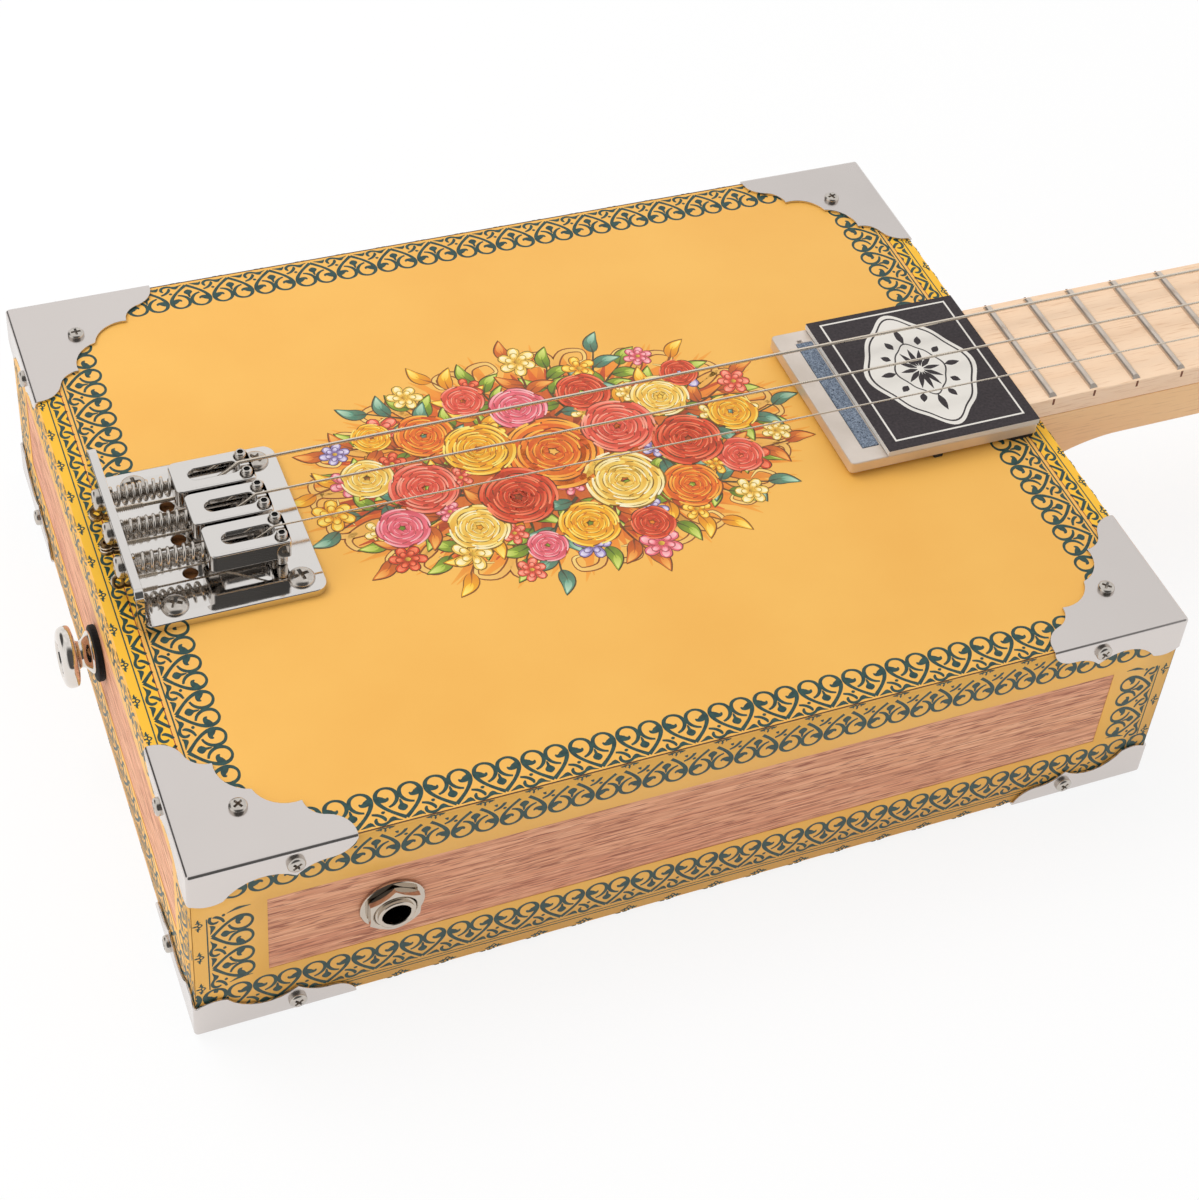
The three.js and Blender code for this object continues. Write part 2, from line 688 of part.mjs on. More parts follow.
// The bridge plate: one bent plate with its upright flange at the tail, all its holes drilled.
function makeBridgePlate() {
  const front = flangeX + plateLength;
  const upright = flangeX + plateThickness;
  const outer = bendRadius + plateThickness;
  const half = plateWidth / 2;
  const side = new THREE.Shape();
  side.moveTo(front, plateBottom);
  side.lineTo(front, plateTop);
  side.lineTo(upright + bendRadius, plateTop);
  side.absarc(upright + bendRadius, plateTop + bendRadius, bendRadius, 1.5 * Math.PI, Math.PI, true);
  side.lineTo(upright, boxTop + flangeHeight);
  side.lineTo(flangeX, boxTop + flangeHeight);
  side.lineTo(flangeX, plateBottom + outer);
  side.absarc(flangeX + outer, plateBottom + outer, outer, Math.PI, 1.5 * Math.PI, false);
  side.closePath();
  const bent = solid(onAxes(sheet(side, plateWidth, -half), "x", "z", "y"));
  const plan = new THREE.Shape();
  plan.moveTo(flangeX - overrun, -half);
  plan.lineTo(front - plateCorner, -half);
  plan.absarc(front - plateCorner, plateCorner - half, plateCorner, 1.5 * Math.PI, 2 * Math.PI, false);
  plan.absarc(front - plateCorner, half - plateCorner, plateCorner, 0, Math.PI / 2, false);
  plan.lineTo(flangeX - overrun, half);
  plan.closePath();
  const trimmed = bent.intersect(solid(sheet(plan, flangeHeight + overrun, boxTop)));
  const holes = [];
  for (const k of strings) {
    const through = plateThickness + 2 * overrun;
    holes.push(rod("z", throughHoleRadius, through, flangeX + throughHoleBack, stringY(k),
      plateBottom - overrun, coarseSides));
    holes.push(rod("x", adjusterRadius + clearance, through, flangeX - overrun, stringY(k),
      adjusterZ, coarseSides));
    holes.push(rod("x", stringRadii[k] + clearance, through, flangeX - overrun, stringY(k),
      stringFlangeZ, curlSteps));
  }
  for (const x of [mountScrewBack, mountScrewFront]) {
    for (const way of [1, -1]) {
      holes.push(rod("z", mountScrewRadius + clearance, plateThickness + 2 * overrun,
        flangeX + x, way * mountScrewSpread, plateBottom - overrun, coarseSides));
    }
  }
  piece("bridge_plate", cut(trimmed, holes), chrome, guitar);
}

// One saddle: a cast shoe open below, slotted for the string, with bored blocks at both ends.
function saddleSolid(k) {
  const rear = saddleRearX(k);
  const front = rear + saddleLength;
  const y = stringY(k);
  const bottom = saddleTop - saddleHeight;
  const half = saddleWidth / 2;
  const body = block(rear, front, y - half, y + half, bottom, saddleTop);
  const hollow = block(rear + saddleRearBlock, front - saddleFrontBlock, y - half + saddleSide,
    y + half - saddleSide, bottom - overrun, saddleTop - saddleRoof);
  const radius = slotWidth / 2;
  const slotHead = rear + slotFront;
  const slotTail = slotHead - slotLength;
  const slot = new THREE.Shape();
  slot.absarc(slotTail + radius, y, radius, Math.PI / 2, 1.5 * Math.PI, false);
  slot.absarc(slotHead - radius, y, radius, 1.5 * Math.PI, 2.5 * Math.PI, false);
  slot.closePath();
  const slotCut = solid(sheet(slot, saddleRoof + 2 * overrun, saddleTop - saddleRoof - overrun, slotSteps));
  const bore = rod("x", adjusterRadius + clearance, saddleRearBlock + 2 * overrun, rear - overrun, y,
    adjusterZ, coarseSides);
  const taps = [1, -1].map((side) =>
    rod("z", heightScrewRadius + heightScrewFit, saddleHeight + 2 * overrun,
      front - heightScrewBack, y + side * heightScrewSpread, bottom - overrun, coarseSides));
  return cut(body, [hollow, slotCut, bore, ...taps]);
}

// A socket-headless set screw standing on the plate, with its hexagon socket at the top.
function heightScrewSolid(k, side) {
  const x = saddleRearX(k) + saddleLength - heightScrewBack;
  const y = stringY(k) + side * heightScrewSpread;
  const bottom = plateTop + clearance;
  const top = saddleTop + heightScrewProud;
  const shank = rod("z", heightScrewRadius, top - bottom, x, y, bottom, coarseSides);
  const socket = rod("z", hexRadius, hexDepth + overrun, x, y, top - hexDepth, hexSides);
  return cut(shank, [socket]);
}

// The intonation screw: its head outside the flange, its shank through the spring into the saddle.
function adjusterSolid(k) {
  const reach = saddleRearX(k) + saddleRearBlock + adjusterReach;
  const head = flangeX - seam - adjusterHeadHeight;
  const length = reach - head;
  const profile = [
    [0, 0], [adjusterHeadRadius / 2, 0], [adjusterHeadRadius, adjusterHeadHeight / 2],
    [adjusterHeadRadius, adjusterHeadHeight], [adjusterRadius, adjusterHeadHeight],
    [adjusterRadius, length - adjusterRadius / 2], [adjusterRadius / 2, length], [0, length],
  ];
  return turned(profile, "x", head, stringY(k), adjusterZ, coarseSides);
}

// A compression spring between the flange and the saddle, its ends running straight to both.
function springPoints(k) {
  const start = flangeX + plateThickness + seam;
  const end = saddleRearX(k) - seam;
  const radius = springRadius - springWireRadius;
  const straight = 2 * springWireRadius;
  const steps = springCurls * curlSteps;
  const at = (turn, x) => vec(x, stringY(k) + radius * Math.sin(turn), adjusterZ + radius * Math.cos(turn));
  const points = [at(0, start)];
  for (let i = 0; i <= steps; i++) {
    const turn = (2 * Math.PI * i) / curlSteps;
    points.push(at(turn, start + straight + ((end - start - 2 * straight) * i) / steps));
  }
  points.push(at(2 * Math.PI * springCurls, end));
  return points;
}

// A screw that holds the bridge plate to the block under the lid.
function mountScrewSolid(x, side) {
  const profile = [
    [0, -mountScrewLength], [mountScrewRadius, mountScrewRadius - mountScrewLength],
    [mountScrewRadius, 0], [mountHeadRadius, 0], [mountHeadRadius, mountHeadHeight / 4],
    [mountHeadRadius / 2, mountHeadHeight], [0, mountHeadHeight],
  ];
  return turned(profile, "z", flangeX + x, side * mountScrewSpread, plateTop + seam, coarseSides);
}

// The saddles with their screws and springs, and the screws that hold the plate down.
function makeBridge() {
  makeBridgePlate();
  const gaps = [];
  for (const k of strings) {
    const name = k + 1;
    piece(`saddle_${name}`, saddleSolid(k), chrome, guitar);
    piece(`height_screw_${name}a`, heightScrewSolid(k, 1), steel, guitar);
    piece(`height_screw_${name}b`, heightScrewSolid(k, -1), steel, guitar);
    piece(`intonation_screw_${name}`, adjusterSolid(k), steel, guitar);
    const points = springPoints(k);
    gaps.push(leastSelfGap(points, springWireRadius, curlSteps));
    piece(`saddle_spring_${name}`, tube(points, springWireRadius, curlSides), steel, guitar);
  }
  let number = 1;
  for (const x of [mountScrewBack, mountScrewFront]) {
    for (const side of [1, -1]) {
      piece(`bridge_screw_${number}`, mountScrewSolid(x, side), steel, guitar);
      number += 1;
    }
  }
  console.log(`least gap inside a spring ${Math.min(...gaps).toFixed(2)} mm`);
}

// The flat pickup: a metal base on a foam pad, a striker strip let in, and a card cover.
function makePickup() {
  const half = pickupWidth / 2;
  const padBottom = boxTop + seam;
  const baseBottom = padBottom + pickupPadThickness;
  const baseTop = baseBottom + pickupBaseThickness;
  const base = block(pickupTailX, pickupHeadX, -half, half, baseBottom, baseTop);
  const pad = block(pickupTailX + pickupPadInset, pickupHeadX - pickupPadInset, pickupPadInset - half,
    half - pickupPadInset, padBottom, baseBottom + pickupBaseThickness / 2);
  const slotTail = pickupTailX + strikerSetback;
  const slotHalf = strikerLength / 2;
  const slot = block(slotTail, slotTail + strikerWidth, -slotHalf, slotHalf,
    baseTop - strikerDepth, baseTop + overrun);
  piece("pickup_base", cut(join([base, pad]), [slot]), steel, guitar);
  const strip = block(slotTail + seam, slotTail + strikerWidth - seam, seam - slotHalf, slotHalf - seam,
    baseTop - strikerDepth + seam, baseTop + seam);
  piece("pickup_striker", strip, grit, guitar);
  const cardTail = pickupHeadX - cardLength;
  const cardBottom = baseTop + 2 * seam;
  piece("pickup_card", block(cardTail, pickupHeadX, -cardWidth / 2, cardWidth / 2, cardBottom,
    cardBottom + cardThickness), card, guitar);
}

// The pickup's lead: down through the lid, along the back panel, and up to the jack. Each row is
// a place on its route, chosen by hand: how far along from the pickup to the jack, how far across,
// and how far up from the back to the lid.
const leadRouteShares = [
  [0, 0, 1.053], [0, 0, 0.913], [0.013, 0.042, 0.701], [0.052, 0.16, 0.403], [0.13, 0.345, 0.17],
  [0.246, 0.513, 0.064], [0.427, 0.598, 0.047], [0.635, 0.598, 0.047], [0.79, 0.581, 0.106],
  [0.881, 0.648, 0.276], [0.926, 0.816, 0.488], [0.952, 0.961, 0.637], [0.975, 1, 0.709],
  [0.994, 1, 0.718], [1, 1, 0.718],
];

function makeLead() {
  const start = vec(pickupHeadX - leadHoleInset, -leadHoleSide, backThickness);
  const stackY = wallThickness + seam + jackFlangeThickness + jackStackLength / 2 - farY;
  const end = vec(jackX + jackStackWidth / 2 + seam + clearance, stackY, lidBottom);
  const span = end.sub(start);
  const route = leadRouteShares.map((share) => vec(...share).multiply(span).add(start));
  const points = new THREE.CatmullRomCurve3(route).getSpacedPoints(leadSteps);
  piece("pickup_lead", tube(points, leadRadius, curlSteps), rubber, guitar);
}

// The output jack: a threaded sleeve with its flange and terminal stack, and the tip contact.
function makeJack() {
  const outside = -farY;
  const inside = -farY + wallThickness;
  const sleeveEnd = inside + seam + jackFlangeThickness;
  const sleeveStart = outside - jackProud;
  const length = sleeveEnd - sleeveStart;
  const flangeAt = inside + seam - sleeveStart;
  const lip = jackSleeveRadius - jackBoreRadius;
  const profile = [
    [jackBoreRadius, 0], [jackSleeveRadius - lip / 3, 0], [jackSleeveRadius, lip / 3],
    [jackSleeveRadius, flangeAt], [jackFlangeRadius, flangeAt], [jackFlangeRadius, length],
    [jackBoreRadius, length], [jackBoreRadius, 0],
  ];
  const sleeve = turned(profile, "y", jackX, sleeveStart, jackZ, fineSides);
  const halfStack = jackStackWidth / 2;
  const stackEnd = sleeveEnd + jackStackLength;
  const stackBottom = jackZ + jackStackRise;
  const frame = block(jackX - halfStack, jackX + halfStack, inside + seam, sleeveEnd,
    jackZ + jackBoreRadius + lip, stackBottom + jackStackHeight);
  const stack = block(jackX - halfStack, jackX + halfStack, sleeveEnd - seam, stackEnd,
    stackBottom, stackBottom + jackStackHeight);
  piece("jack_socket", join([sleeve, frame, stack]), chrome, guitar);

  const root = stackEnd + clearance;
  const rootZ = jackZ + jackLeafRootRise;
  const tipZ = jackZ + jackLeafTipRise;
  const bend = root + jackLeafLength / 2;
  const tip = root + jackLeafLength - jackLeafLip;
  const end = root + jackLeafLength;
  const thick = jackLeafThickness;
  const leaf = outline([
    [root, rootZ], [bend, rootZ], [tip, tipZ], [end, tipZ + jackLeafLip],
    [end, tipZ + jackLeafLip + thick], [tip, tipZ + 2 * thick],
    [bend, rootZ + thick], [root, rootZ + thick],
  ]);
  const half = jackLeafWidth / 2;
  const contact = solid(onAxes(sheet(leaf, jackLeafWidth, jackX - half), "y", "z", "x"));
  piece("jack_contact", contact, steel, guitar);

  const ring = (radius, thickness, y, sides) => {
    const hole = rod("y", jackSleeveRadius + clearance, thickness + 2 * overrun, jackX, y - overrun, jackZ);
    return cut(rod("y", radius, thickness, jackX, y, jackZ, sides), [hole]);
  };
  const washerY = outside - seam - jackWasherThickness;
  piece("jack_washer", ring(jackWasherRadius, jackWasherThickness, washerY, fineSides), chrome, guitar);
  const nutRadius = jackNutFlats / Math.sqrt(3);
  const outerY = washerY - seam - jackNutThickness;
  piece("jack_nut", ring(nutRadius, jackNutThickness, outerY, hexSides), chrome, guitar);
}

// The strap button: a turned knob with a flared base on a felt washer, held by one long screw.
function makeStrapButton() {
  const feltX = tailX - seam - feltThickness;
  const bore = strapScrewRadius + clearance;
  const loose = bore + feltDrop;
  const felt = [
    [loose, 0], [feltRadius, 0], [feltRadius, feltThickness], [loose, feltThickness], [loose, 0],
  ];
  piece("strap_felt", turned(felt, "x", feltX, strapSide, strapZ - feltDrop, fineSides), rubber, guitar);
  const foot = feltX - seam;
  const start = foot - strapLength;
  const dish = strapScrewHeadRadius + clearance;
  const floor = strapScrewHeadHeight + clearance;
  const dome = strapHeadRadius - strapFaceRadius;
  const neck = strapLength - strapHeadThickness;
  const knob = [
    [bore, floor], [dish, strapDishWall], [dish, 0], [strapFaceRadius, 0],
    [strapHeadRadius - dome / 3, dome / 2], [strapHeadRadius, 1.5 * dome],
    [strapHeadRadius, strapHeadThickness - dome / 3], [strapHeadRadius - dome / 3, strapHeadThickness],
    [strapWaistRadius + neck / 5, strapHeadThickness + neck / 5],
    [strapWaistRadius, strapHeadThickness + neck / 2.5], [strapWaistRadius, strapLength - neck / 2.5],
    [strapBaseRadius, strapLength - neck / 8], [strapBaseRadius, strapLength],
    [bore, strapLength], [bore, floor],
  ];
  piece("strap_button", turned(knob, "x", start, strapSide, strapZ, fineSides), chrome, guitar);
  const bite = tailX + wallThickness + strapScrewBite - start;
  const screw = [
    [0, 0], [strapScrewHeadRadius / 2, 0], [strapScrewHeadRadius, strapDishWall / 2],
    [strapScrewHeadRadius, strapDishWall - seam], [strapScrewRadius, strapScrewHeadHeight],
    [strapScrewRadius, bite - strapScrewRadius], [0, bite],
  ];
  piece("strap_screw", turned(screw, "x", start, strapSide, strapZ), chrome, guitar);
}

// One tuner: the housing under the head with its bushing and nut, the post, and the button.
function makeTuner(k) {
  const x = nutBackX + postPlaceShares[k] * headLength;
  const side = postSides[k];
  const y = side * postRowSide;
  const name = k + 1;
  const housingTop = headBottom - seam;
  const housingBottom = housingTop - housingDepth;
  const washerBottom = headTop + seam;
  const nutBottom = washerBottom + bushingWasherThickness;
  const nutTop = nutBottom + bushingNutThickness;
  const middle = housingBottom + housingDepth / 2;
  const barrelEnd = side * wormBarrelReach;
  const wormX = x + wormOffset;
  const lugReach = housingRadius + housingLug;
  const can = rod("z", housingRadius, housingDepth, x, y, housingBottom);
  const barrelLength = 2 * wormBarrelReach;
  const barrel = rod("y", wormBarrelRadius, barrelLength, wormX, y - wormBarrelReach, middle);
  const lug = block(x - lugReach, x, y - housingLug, y + housingLug,
    housingTop - housingLugThickness, housingTop);
  const neckOfHousing = rod("z", bushingRadius, nutTop - middle, x, y, middle);
  const washer = rod("z", bushingWasherRadius, bushingWasherThickness + seam, x, y, washerBottom);
  const nut = rod("z", bushingNutRadius, bushingNutThickness, x, y, nutBottom, hexSides);
  const bore = rod("z", postRadius + clearance, nutTop - middle + overrun, x, y, middle);
  const shaftBore = rod("y", shaftRadius + clearance, wormBarrelReach + overrun, wormX,
    side > 0 ? y : y - wormBarrelReach - overrun, middle, coarseSides);
  piece(`tuner_housing_${name}`, cut(join([can, barrel, lug, neckOfHousing, washer, nut]),
    [bore, shaftBore]), chrome, guitar);

  const postBottom = middle + clearance;
  const postTop = headTop + postHeight;
  const waistStart = nutTop + bushingWasherThickness - postBottom;
  const waistEnd = headTop + postHoleHeight + postHoleRadius - postBottom;
  const postLength = postTop - postBottom;
  const postProfile = [
    [0, 0], [postRadius, 0], [postRadius, waistStart], [postWaistRadius, waistStart + windingPitch / 2],
    [postWaistRadius, waistEnd], [postRadius, waistEnd + windingPitch / 4],
    [postRadius, postLength - seam], [0, postLength],
  ];
  const post = turned(postProfile, "z", x, y, postBottom);
  const eye = rod("y", postHoleRadius, 2 * (postRadius + overrun), x, y - postRadius - overrun,
    headTop + postHoleHeight, curlSteps);
  piece(`tuner_post_${name}`, cut(post, [eye]), chrome, guitar);

  const shaftLength = wormBarrelReach / 2 + buttonGap;
  const total = shaftLength + buttonLength;
  const shaft = rod("y", shaftRadius, total - buttonLength / 2, 0, 0, 0, coarseSides);
  const start = shaftLength;
  const knobProfile = [
    [0, start], [collarRadius, start], [collarRadius, start + buttonLength / 8],
    ...buttonShares.map(([wide, along]) => [buttonRadius * wide, start + buttonLength * along]),
    [0, total],
  ];
  const flat = turned(knobProfile, "y", 0, 0, 0).scale([buttonFlatShare, 1, 1]);
  const button = piece(`tuner_button_${name}`, join([shaft, flat]), chrome, guitar);
  button.position.set(wormX, y + barrelEnd / 2, middle);
  if (side < 0) button.rotation.z = Math.PI;
}

// The route of string k: ball, flange, under the spring, up through the saddle's slot, over the
// nut, and wound down its post to the eye.
function stringPoints(k) {
  const radius = stringRadii[k];
  const y = stringY(k);
  const rear = saddleRearX(k);
  const rise = rear + saddleRearBlock + adjusterReach + clearance;
  const points = [
    vec(flangeX - clearance - ballRadius, y, stringFlangeZ),
    vec(flangeX + plateThickness, y, stringFlangeZ),
    vec(rise, y, stringFlangeZ),
    vec(rise + radius, y, stringFlangeZ + radius / 4),
  ];
  points.push(vec(breakX(k) - 2 * radius, y, breakZ(k) - radius));
  points.push(vec(breakX(k), y, breakZ(k)));
  points.push(vec(nutX, nutY(k), nutZ(k)));
  points.push(vec(nutBackX, nutY(k), nutZ(k)));

  const side = postSides[k];
  const postX = nutBackX + postPlaceShares[k] * headLength;
  const postY = side * postRowSide;
  const eyeZ = headTop + postHoleHeight;
  const ring = postWaistRadius + clearance + radius;
  const steps = Math.round(windingTurns * loopSteps);
  const lowest = eyeZ - windingTurns * windingPitch;
  // The coil turns from the side that faces the middle of the head round to the eye.
  const at = (angle, r, z) => vec(postX + r * Math.cos(angle), postY + side * r * Math.sin(angle), z);
  const first = -Math.PI / 2;
  for (let i = 0; i <= steps; i++) {
    points.push(at(first + (2 * Math.PI * i) / loopSteps, ring, lowest + ((eyeZ - lowest) * i) / steps));
  }
  // The tail turns in and runs straight through the eye's mouth, square to the post.
  const last = first + (2 * Math.PI * steps) / loopSteps;
  points.push(at(last + radius / ring, ring - radius / 3, eyeZ));
  points.push(at(last + radius / ring, ring - 2 * radius, eyeZ));
  return points;
}

function makeStrings() {
  const gaps = [];
  for (const k of strings) {
    const points = stringPoints(k);
    const wound = points.slice(-Math.round(windingTurns * loopSteps));
    gaps.push(leastSelfGap(wound, stringRadii[k], loopSteps));
    const wire = tube(points, stringRadii[k], stringSides);
    const ball = rod("y", ballRadius, ballLength, flangeX - clearance - ballRadius,
      stringY(k) - ballLength / 2, stringFlangeZ, coarseSides);
    piece(`string_${k + 1}`, join([wire, ball]), steel, guitar);
  }
  console.log(`least gap inside a winding ${Math.min(...gaps).toFixed(2)} mm`);
}

makeBox();
makeBrackets();
makeNeck();
makeFingerboard();
makeNut();
makeBridge();
makePickup();
makeLead();
makeJack();
makeStrapButton();
strings.forEach(makeTuner);
makeStrings();

export default guitar;
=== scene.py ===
# A three-string box guitar: a papered wooden box with chromed corners, a neck that runs through
# it, a bridge with sliding saddles, a flat pickup, an output jack and three geared tuners.
# Metres, +Z up, strings along +X, the origin in the middle of the bare window of the back.
import math

import bmesh
import bpy
import numpy as np
from mathutils import Matrix, Vector


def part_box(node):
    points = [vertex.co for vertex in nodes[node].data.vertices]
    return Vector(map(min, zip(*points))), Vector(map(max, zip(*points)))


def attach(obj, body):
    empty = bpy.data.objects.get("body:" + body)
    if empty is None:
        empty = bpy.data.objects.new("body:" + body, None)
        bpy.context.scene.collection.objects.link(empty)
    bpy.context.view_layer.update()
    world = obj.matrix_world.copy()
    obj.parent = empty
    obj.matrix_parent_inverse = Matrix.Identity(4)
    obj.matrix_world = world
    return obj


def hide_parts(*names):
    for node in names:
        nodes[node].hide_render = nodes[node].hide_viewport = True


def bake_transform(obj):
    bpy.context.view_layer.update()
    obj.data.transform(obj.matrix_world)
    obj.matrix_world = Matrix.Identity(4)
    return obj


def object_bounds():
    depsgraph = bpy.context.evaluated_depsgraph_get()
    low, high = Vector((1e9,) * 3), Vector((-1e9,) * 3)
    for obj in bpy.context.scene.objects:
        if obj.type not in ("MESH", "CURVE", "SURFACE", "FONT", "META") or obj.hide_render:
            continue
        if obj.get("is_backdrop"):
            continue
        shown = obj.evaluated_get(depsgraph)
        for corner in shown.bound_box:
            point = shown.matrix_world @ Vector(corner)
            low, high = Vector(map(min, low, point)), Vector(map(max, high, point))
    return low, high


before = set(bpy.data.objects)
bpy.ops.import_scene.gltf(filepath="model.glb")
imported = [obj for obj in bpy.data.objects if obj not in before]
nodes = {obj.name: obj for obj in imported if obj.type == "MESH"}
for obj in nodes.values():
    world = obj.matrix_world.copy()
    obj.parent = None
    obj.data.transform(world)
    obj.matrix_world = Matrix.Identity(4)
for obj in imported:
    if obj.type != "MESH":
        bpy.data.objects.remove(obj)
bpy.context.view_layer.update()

# The view of the photograph: a long lens, shifted off its middle, that looks down on the lid from
# beyond the jack side and the tail.
scene = bpy.context.scene
sight = bpy.data.cameras.new("photo_camera")
sight.sensor_fit = "HORIZONTAL"
sight.sensor_width = 36
sight.lens = 74.505
sight.shift_x = -0.0787
sight.shift_y = -0.1821
sight.clip_start = 0.01
camera = bpy.data.objects.new("photo_camera", sight)
right = (0.91900825, -0.38174477, 0.09846203)
down = (-0.18764447, -0.64320398, -0.74234641)
ahead = (0.34671803, 0.66374661, -0.66274206)
turn = Matrix((right, [-n for n in down], [-n for n in ahead])).transposed()
camera.matrix_world = Matrix.Translation((-0.17627, -0.3914, 0.46236)) @ turn.to_4x4()
scene.collection.objects.link(camera)
scene.camera = camera
scene.view_settings.view_transform = "Standard"

# Box panels: four walls with a lid and a back let into them, all of thin reddish wood. It is
# glued up, sanded and left bare in the windows of the paper, where its dark pores show as short
# strokes along each panel.

# The sizes from here on are in millimetres, and this makes them metres.
MM = 0.001


def tint(code):
    """A linear colour from the six digits of an sRGB colour."""
    srgb = np.array([int(code[i : i + 2], 16) for i in (0, 2, 4)]) / 255
    linear = np.where(srgb <= 0.04045, srgb / 12.92, ((srgb + 0.055) / 1.055) ** 2.4)
    return (*linear.tolist(), 1.0)


class Nodes:
    """A node tree, with short ways to add nodes, to link them and to mix their values."""

    def __init__(self, tree):
        self.tree = tree

    def feed(self, socket, value):
        """Links a socket to another, or sets it to a plain value."""
        if isinstance(value, bpy.types.NodeSocket):
            self.tree.links.new(value, socket)
        else:
            socket.default_value = value

    def put(self, kind, **values):
        """A new node: names with a capital are its inputs, the others its settings."""
        node = self.tree.nodes.new("ShaderNode" + kind)
        for name, value in values.items():
            if name[0].isupper():
                self.feed(node.inputs[name.replace("_", " ")], value)
            else:
                setattr(node, name, value)
        return node

    def grain(self, scale, detail=4.0, offset=(0.0, 0.0, 0.0)):
        """Soft noise, by its number of cycles a metre: one number, or one for each axis."""
        where = self.put("TexCoord").outputs["Object"]
        scale = np.broadcast_to(scale, 3).tolist()
        mapped = self.put("Mapping", Vector=where, Location=offset, Scale=scale)
        noise = self.put("TexNoise", Vector=mapped.outputs[0], Scale=1.0, Detail=detail)
        return noise.outputs["Fac"]

    def share(self, value, low, high):
        """How far a value lies from low to high, held between nought and one."""
        return self.put("MapRange", Value=value, From_Min=low, From_Max=high).outputs[0]

    def mixed(self, share, first, second):
        """Two colours mixed by a share of the second."""
        mix = self.put("Mix", data_type="RGBA")
        for index, value in ((0, share), (6, first), (7, second)):
            self.feed(mix.inputs[index], value)
        return mix.outputs[2]


class Finish(Nodes):
    """A finish by name: plain values set on the shader, and nodes that vary what is linked."""

    def __init__(self, name, colour="808080", roughness=0.5, metallic=0.0, coat=0.0):
        self.material = bpy.data.materials.new(name)
        self.material.use_nodes = True
        super().__init__(self.material.node_tree)
        self.shader = self.tree.nodes["Principled BSDF"]
        self.shader.inputs["Base Color"].default_value = tint(colour)
        self.shader.inputs["Roughness"].default_value = roughness
        self.shader.inputs["Metallic"].default_value = metallic
        self.shader.inputs["Coat Weight"].default_value = coat

    def coloured(self, colour):
        """Takes the base colour from a socket."""
        self.feed(self.shader.inputs["Base Color"], colour)

    def roughened(self, value, low, high):
        """Roughness that runs from low to high as a value runs from nought to one."""
        rough = self.put("MapRange", Value=value, To_Min=low, To_Max=high)
        self.feed(self.shader.inputs["Roughness"], rough.outputs[0])

    def raised(self, height, depth):
        """Relief of the given depth in millimetres, where a height runs from nought to one."""
        bump = self.put("Bump", Height=height, Distance=depth * MM, Strength=1.0)
        self.feed(self.shader.inputs["Normal"], bump.outputs[0])


def dressed(names, finish):
    """Gives modelled parts of the frame their finish, with the shape left as it is."""
    for name in names:
        nodes[name].material_slots[0].material = finish.material


def bare_wood(name, along):
    """Reddish wood: faint bands, and fine short pores, both drawn out along one axis."""
    finish = Finish(name, roughness=0.62)
    stretch = lambda long, cross: [long if axis == along else cross for axis in range(3)]
    bands = finish.share(finish.grain(stretch(4, 70), 3, (0.3, 0.1, 0.2)), 0.3, 0.7)
    lines = finish.share(finish.grain(stretch(40, 2000), 3), 0.44, 0.64)
    pores = finish.share(finish.grain(stretch(150, 3000), 2), 0.54, 0.64)
    fibres = finish.share(finish.grain(stretch(70, 2400), 2, (0.1, 0.5, 0.3)), 0.42, 0.62)
    body = finish.mixed(bands, tint("EFAE82"), tint("DE9270"))
    body = finish.mixed(fibres, body, finish.mixed(bands, tint("FCC79E"), tint("EFAE8A")))
    body = finish.mixed(lines, body, finish.mixed(bands, tint("DA9872"), tint("CA8262")))
    finish.coloured(finish.mixed(pores, body, tint("AC6C54")))
    finish.roughened(pores, 0.55, 0.75)
    finish.raised(pores, -0.04)
    return finish


wood_long = bare_wood("bare_wood_lengthways", 0)
wood_cross = bare_wood("bare_wood_crossways", 1)
dressed(["lid", "back_panel", "wall_jack_side", "wall_far_side"], wood_long)
dressed(["wall_tail", "wall_neck"], wood_cross)


# Printed paper: golden paper glued over the whole box, folded over its edges, with a window left
# on each wall and on the back. It covers the seams between the walls and the lid.
def loft(rings, fill=(True, True), wrap=True):
    """A skin through rows of points, each row joined to the next, and the end rows filled."""
    rings = np.asarray(rings, float)
    rows, across = rings.shape[:2]
    i, j = np.meshgrid(np.arange(rows - 1), np.arange(across - (not wrap)), indexing="ij")
    beside = (j + 1) % across
    corners = (i * across + j, i * across + beside, (i + 1) * across + beside, (i + 1) * across + j)
    faces = np.stack(corners, -1).reshape(-1, 4).tolist()
    if fill[0]:
        faces.append(list(range(across))[::-1])
    if fill[1]:
        faces.append(list(range((rows - 1) * across, rows * across)))
    return rings.reshape(-1, 3), faces


def gathered(*shapes):
    """Several shapes as one, their points in a row."""
    counts = np.cumsum([0] + [len(points) for points, _ in shapes])
    faces = [[int(n) + c for c in face] for n, (_, run) in zip(counts, shapes) for face in run]
    return np.vstack([points for points, _ in shapes]), faces


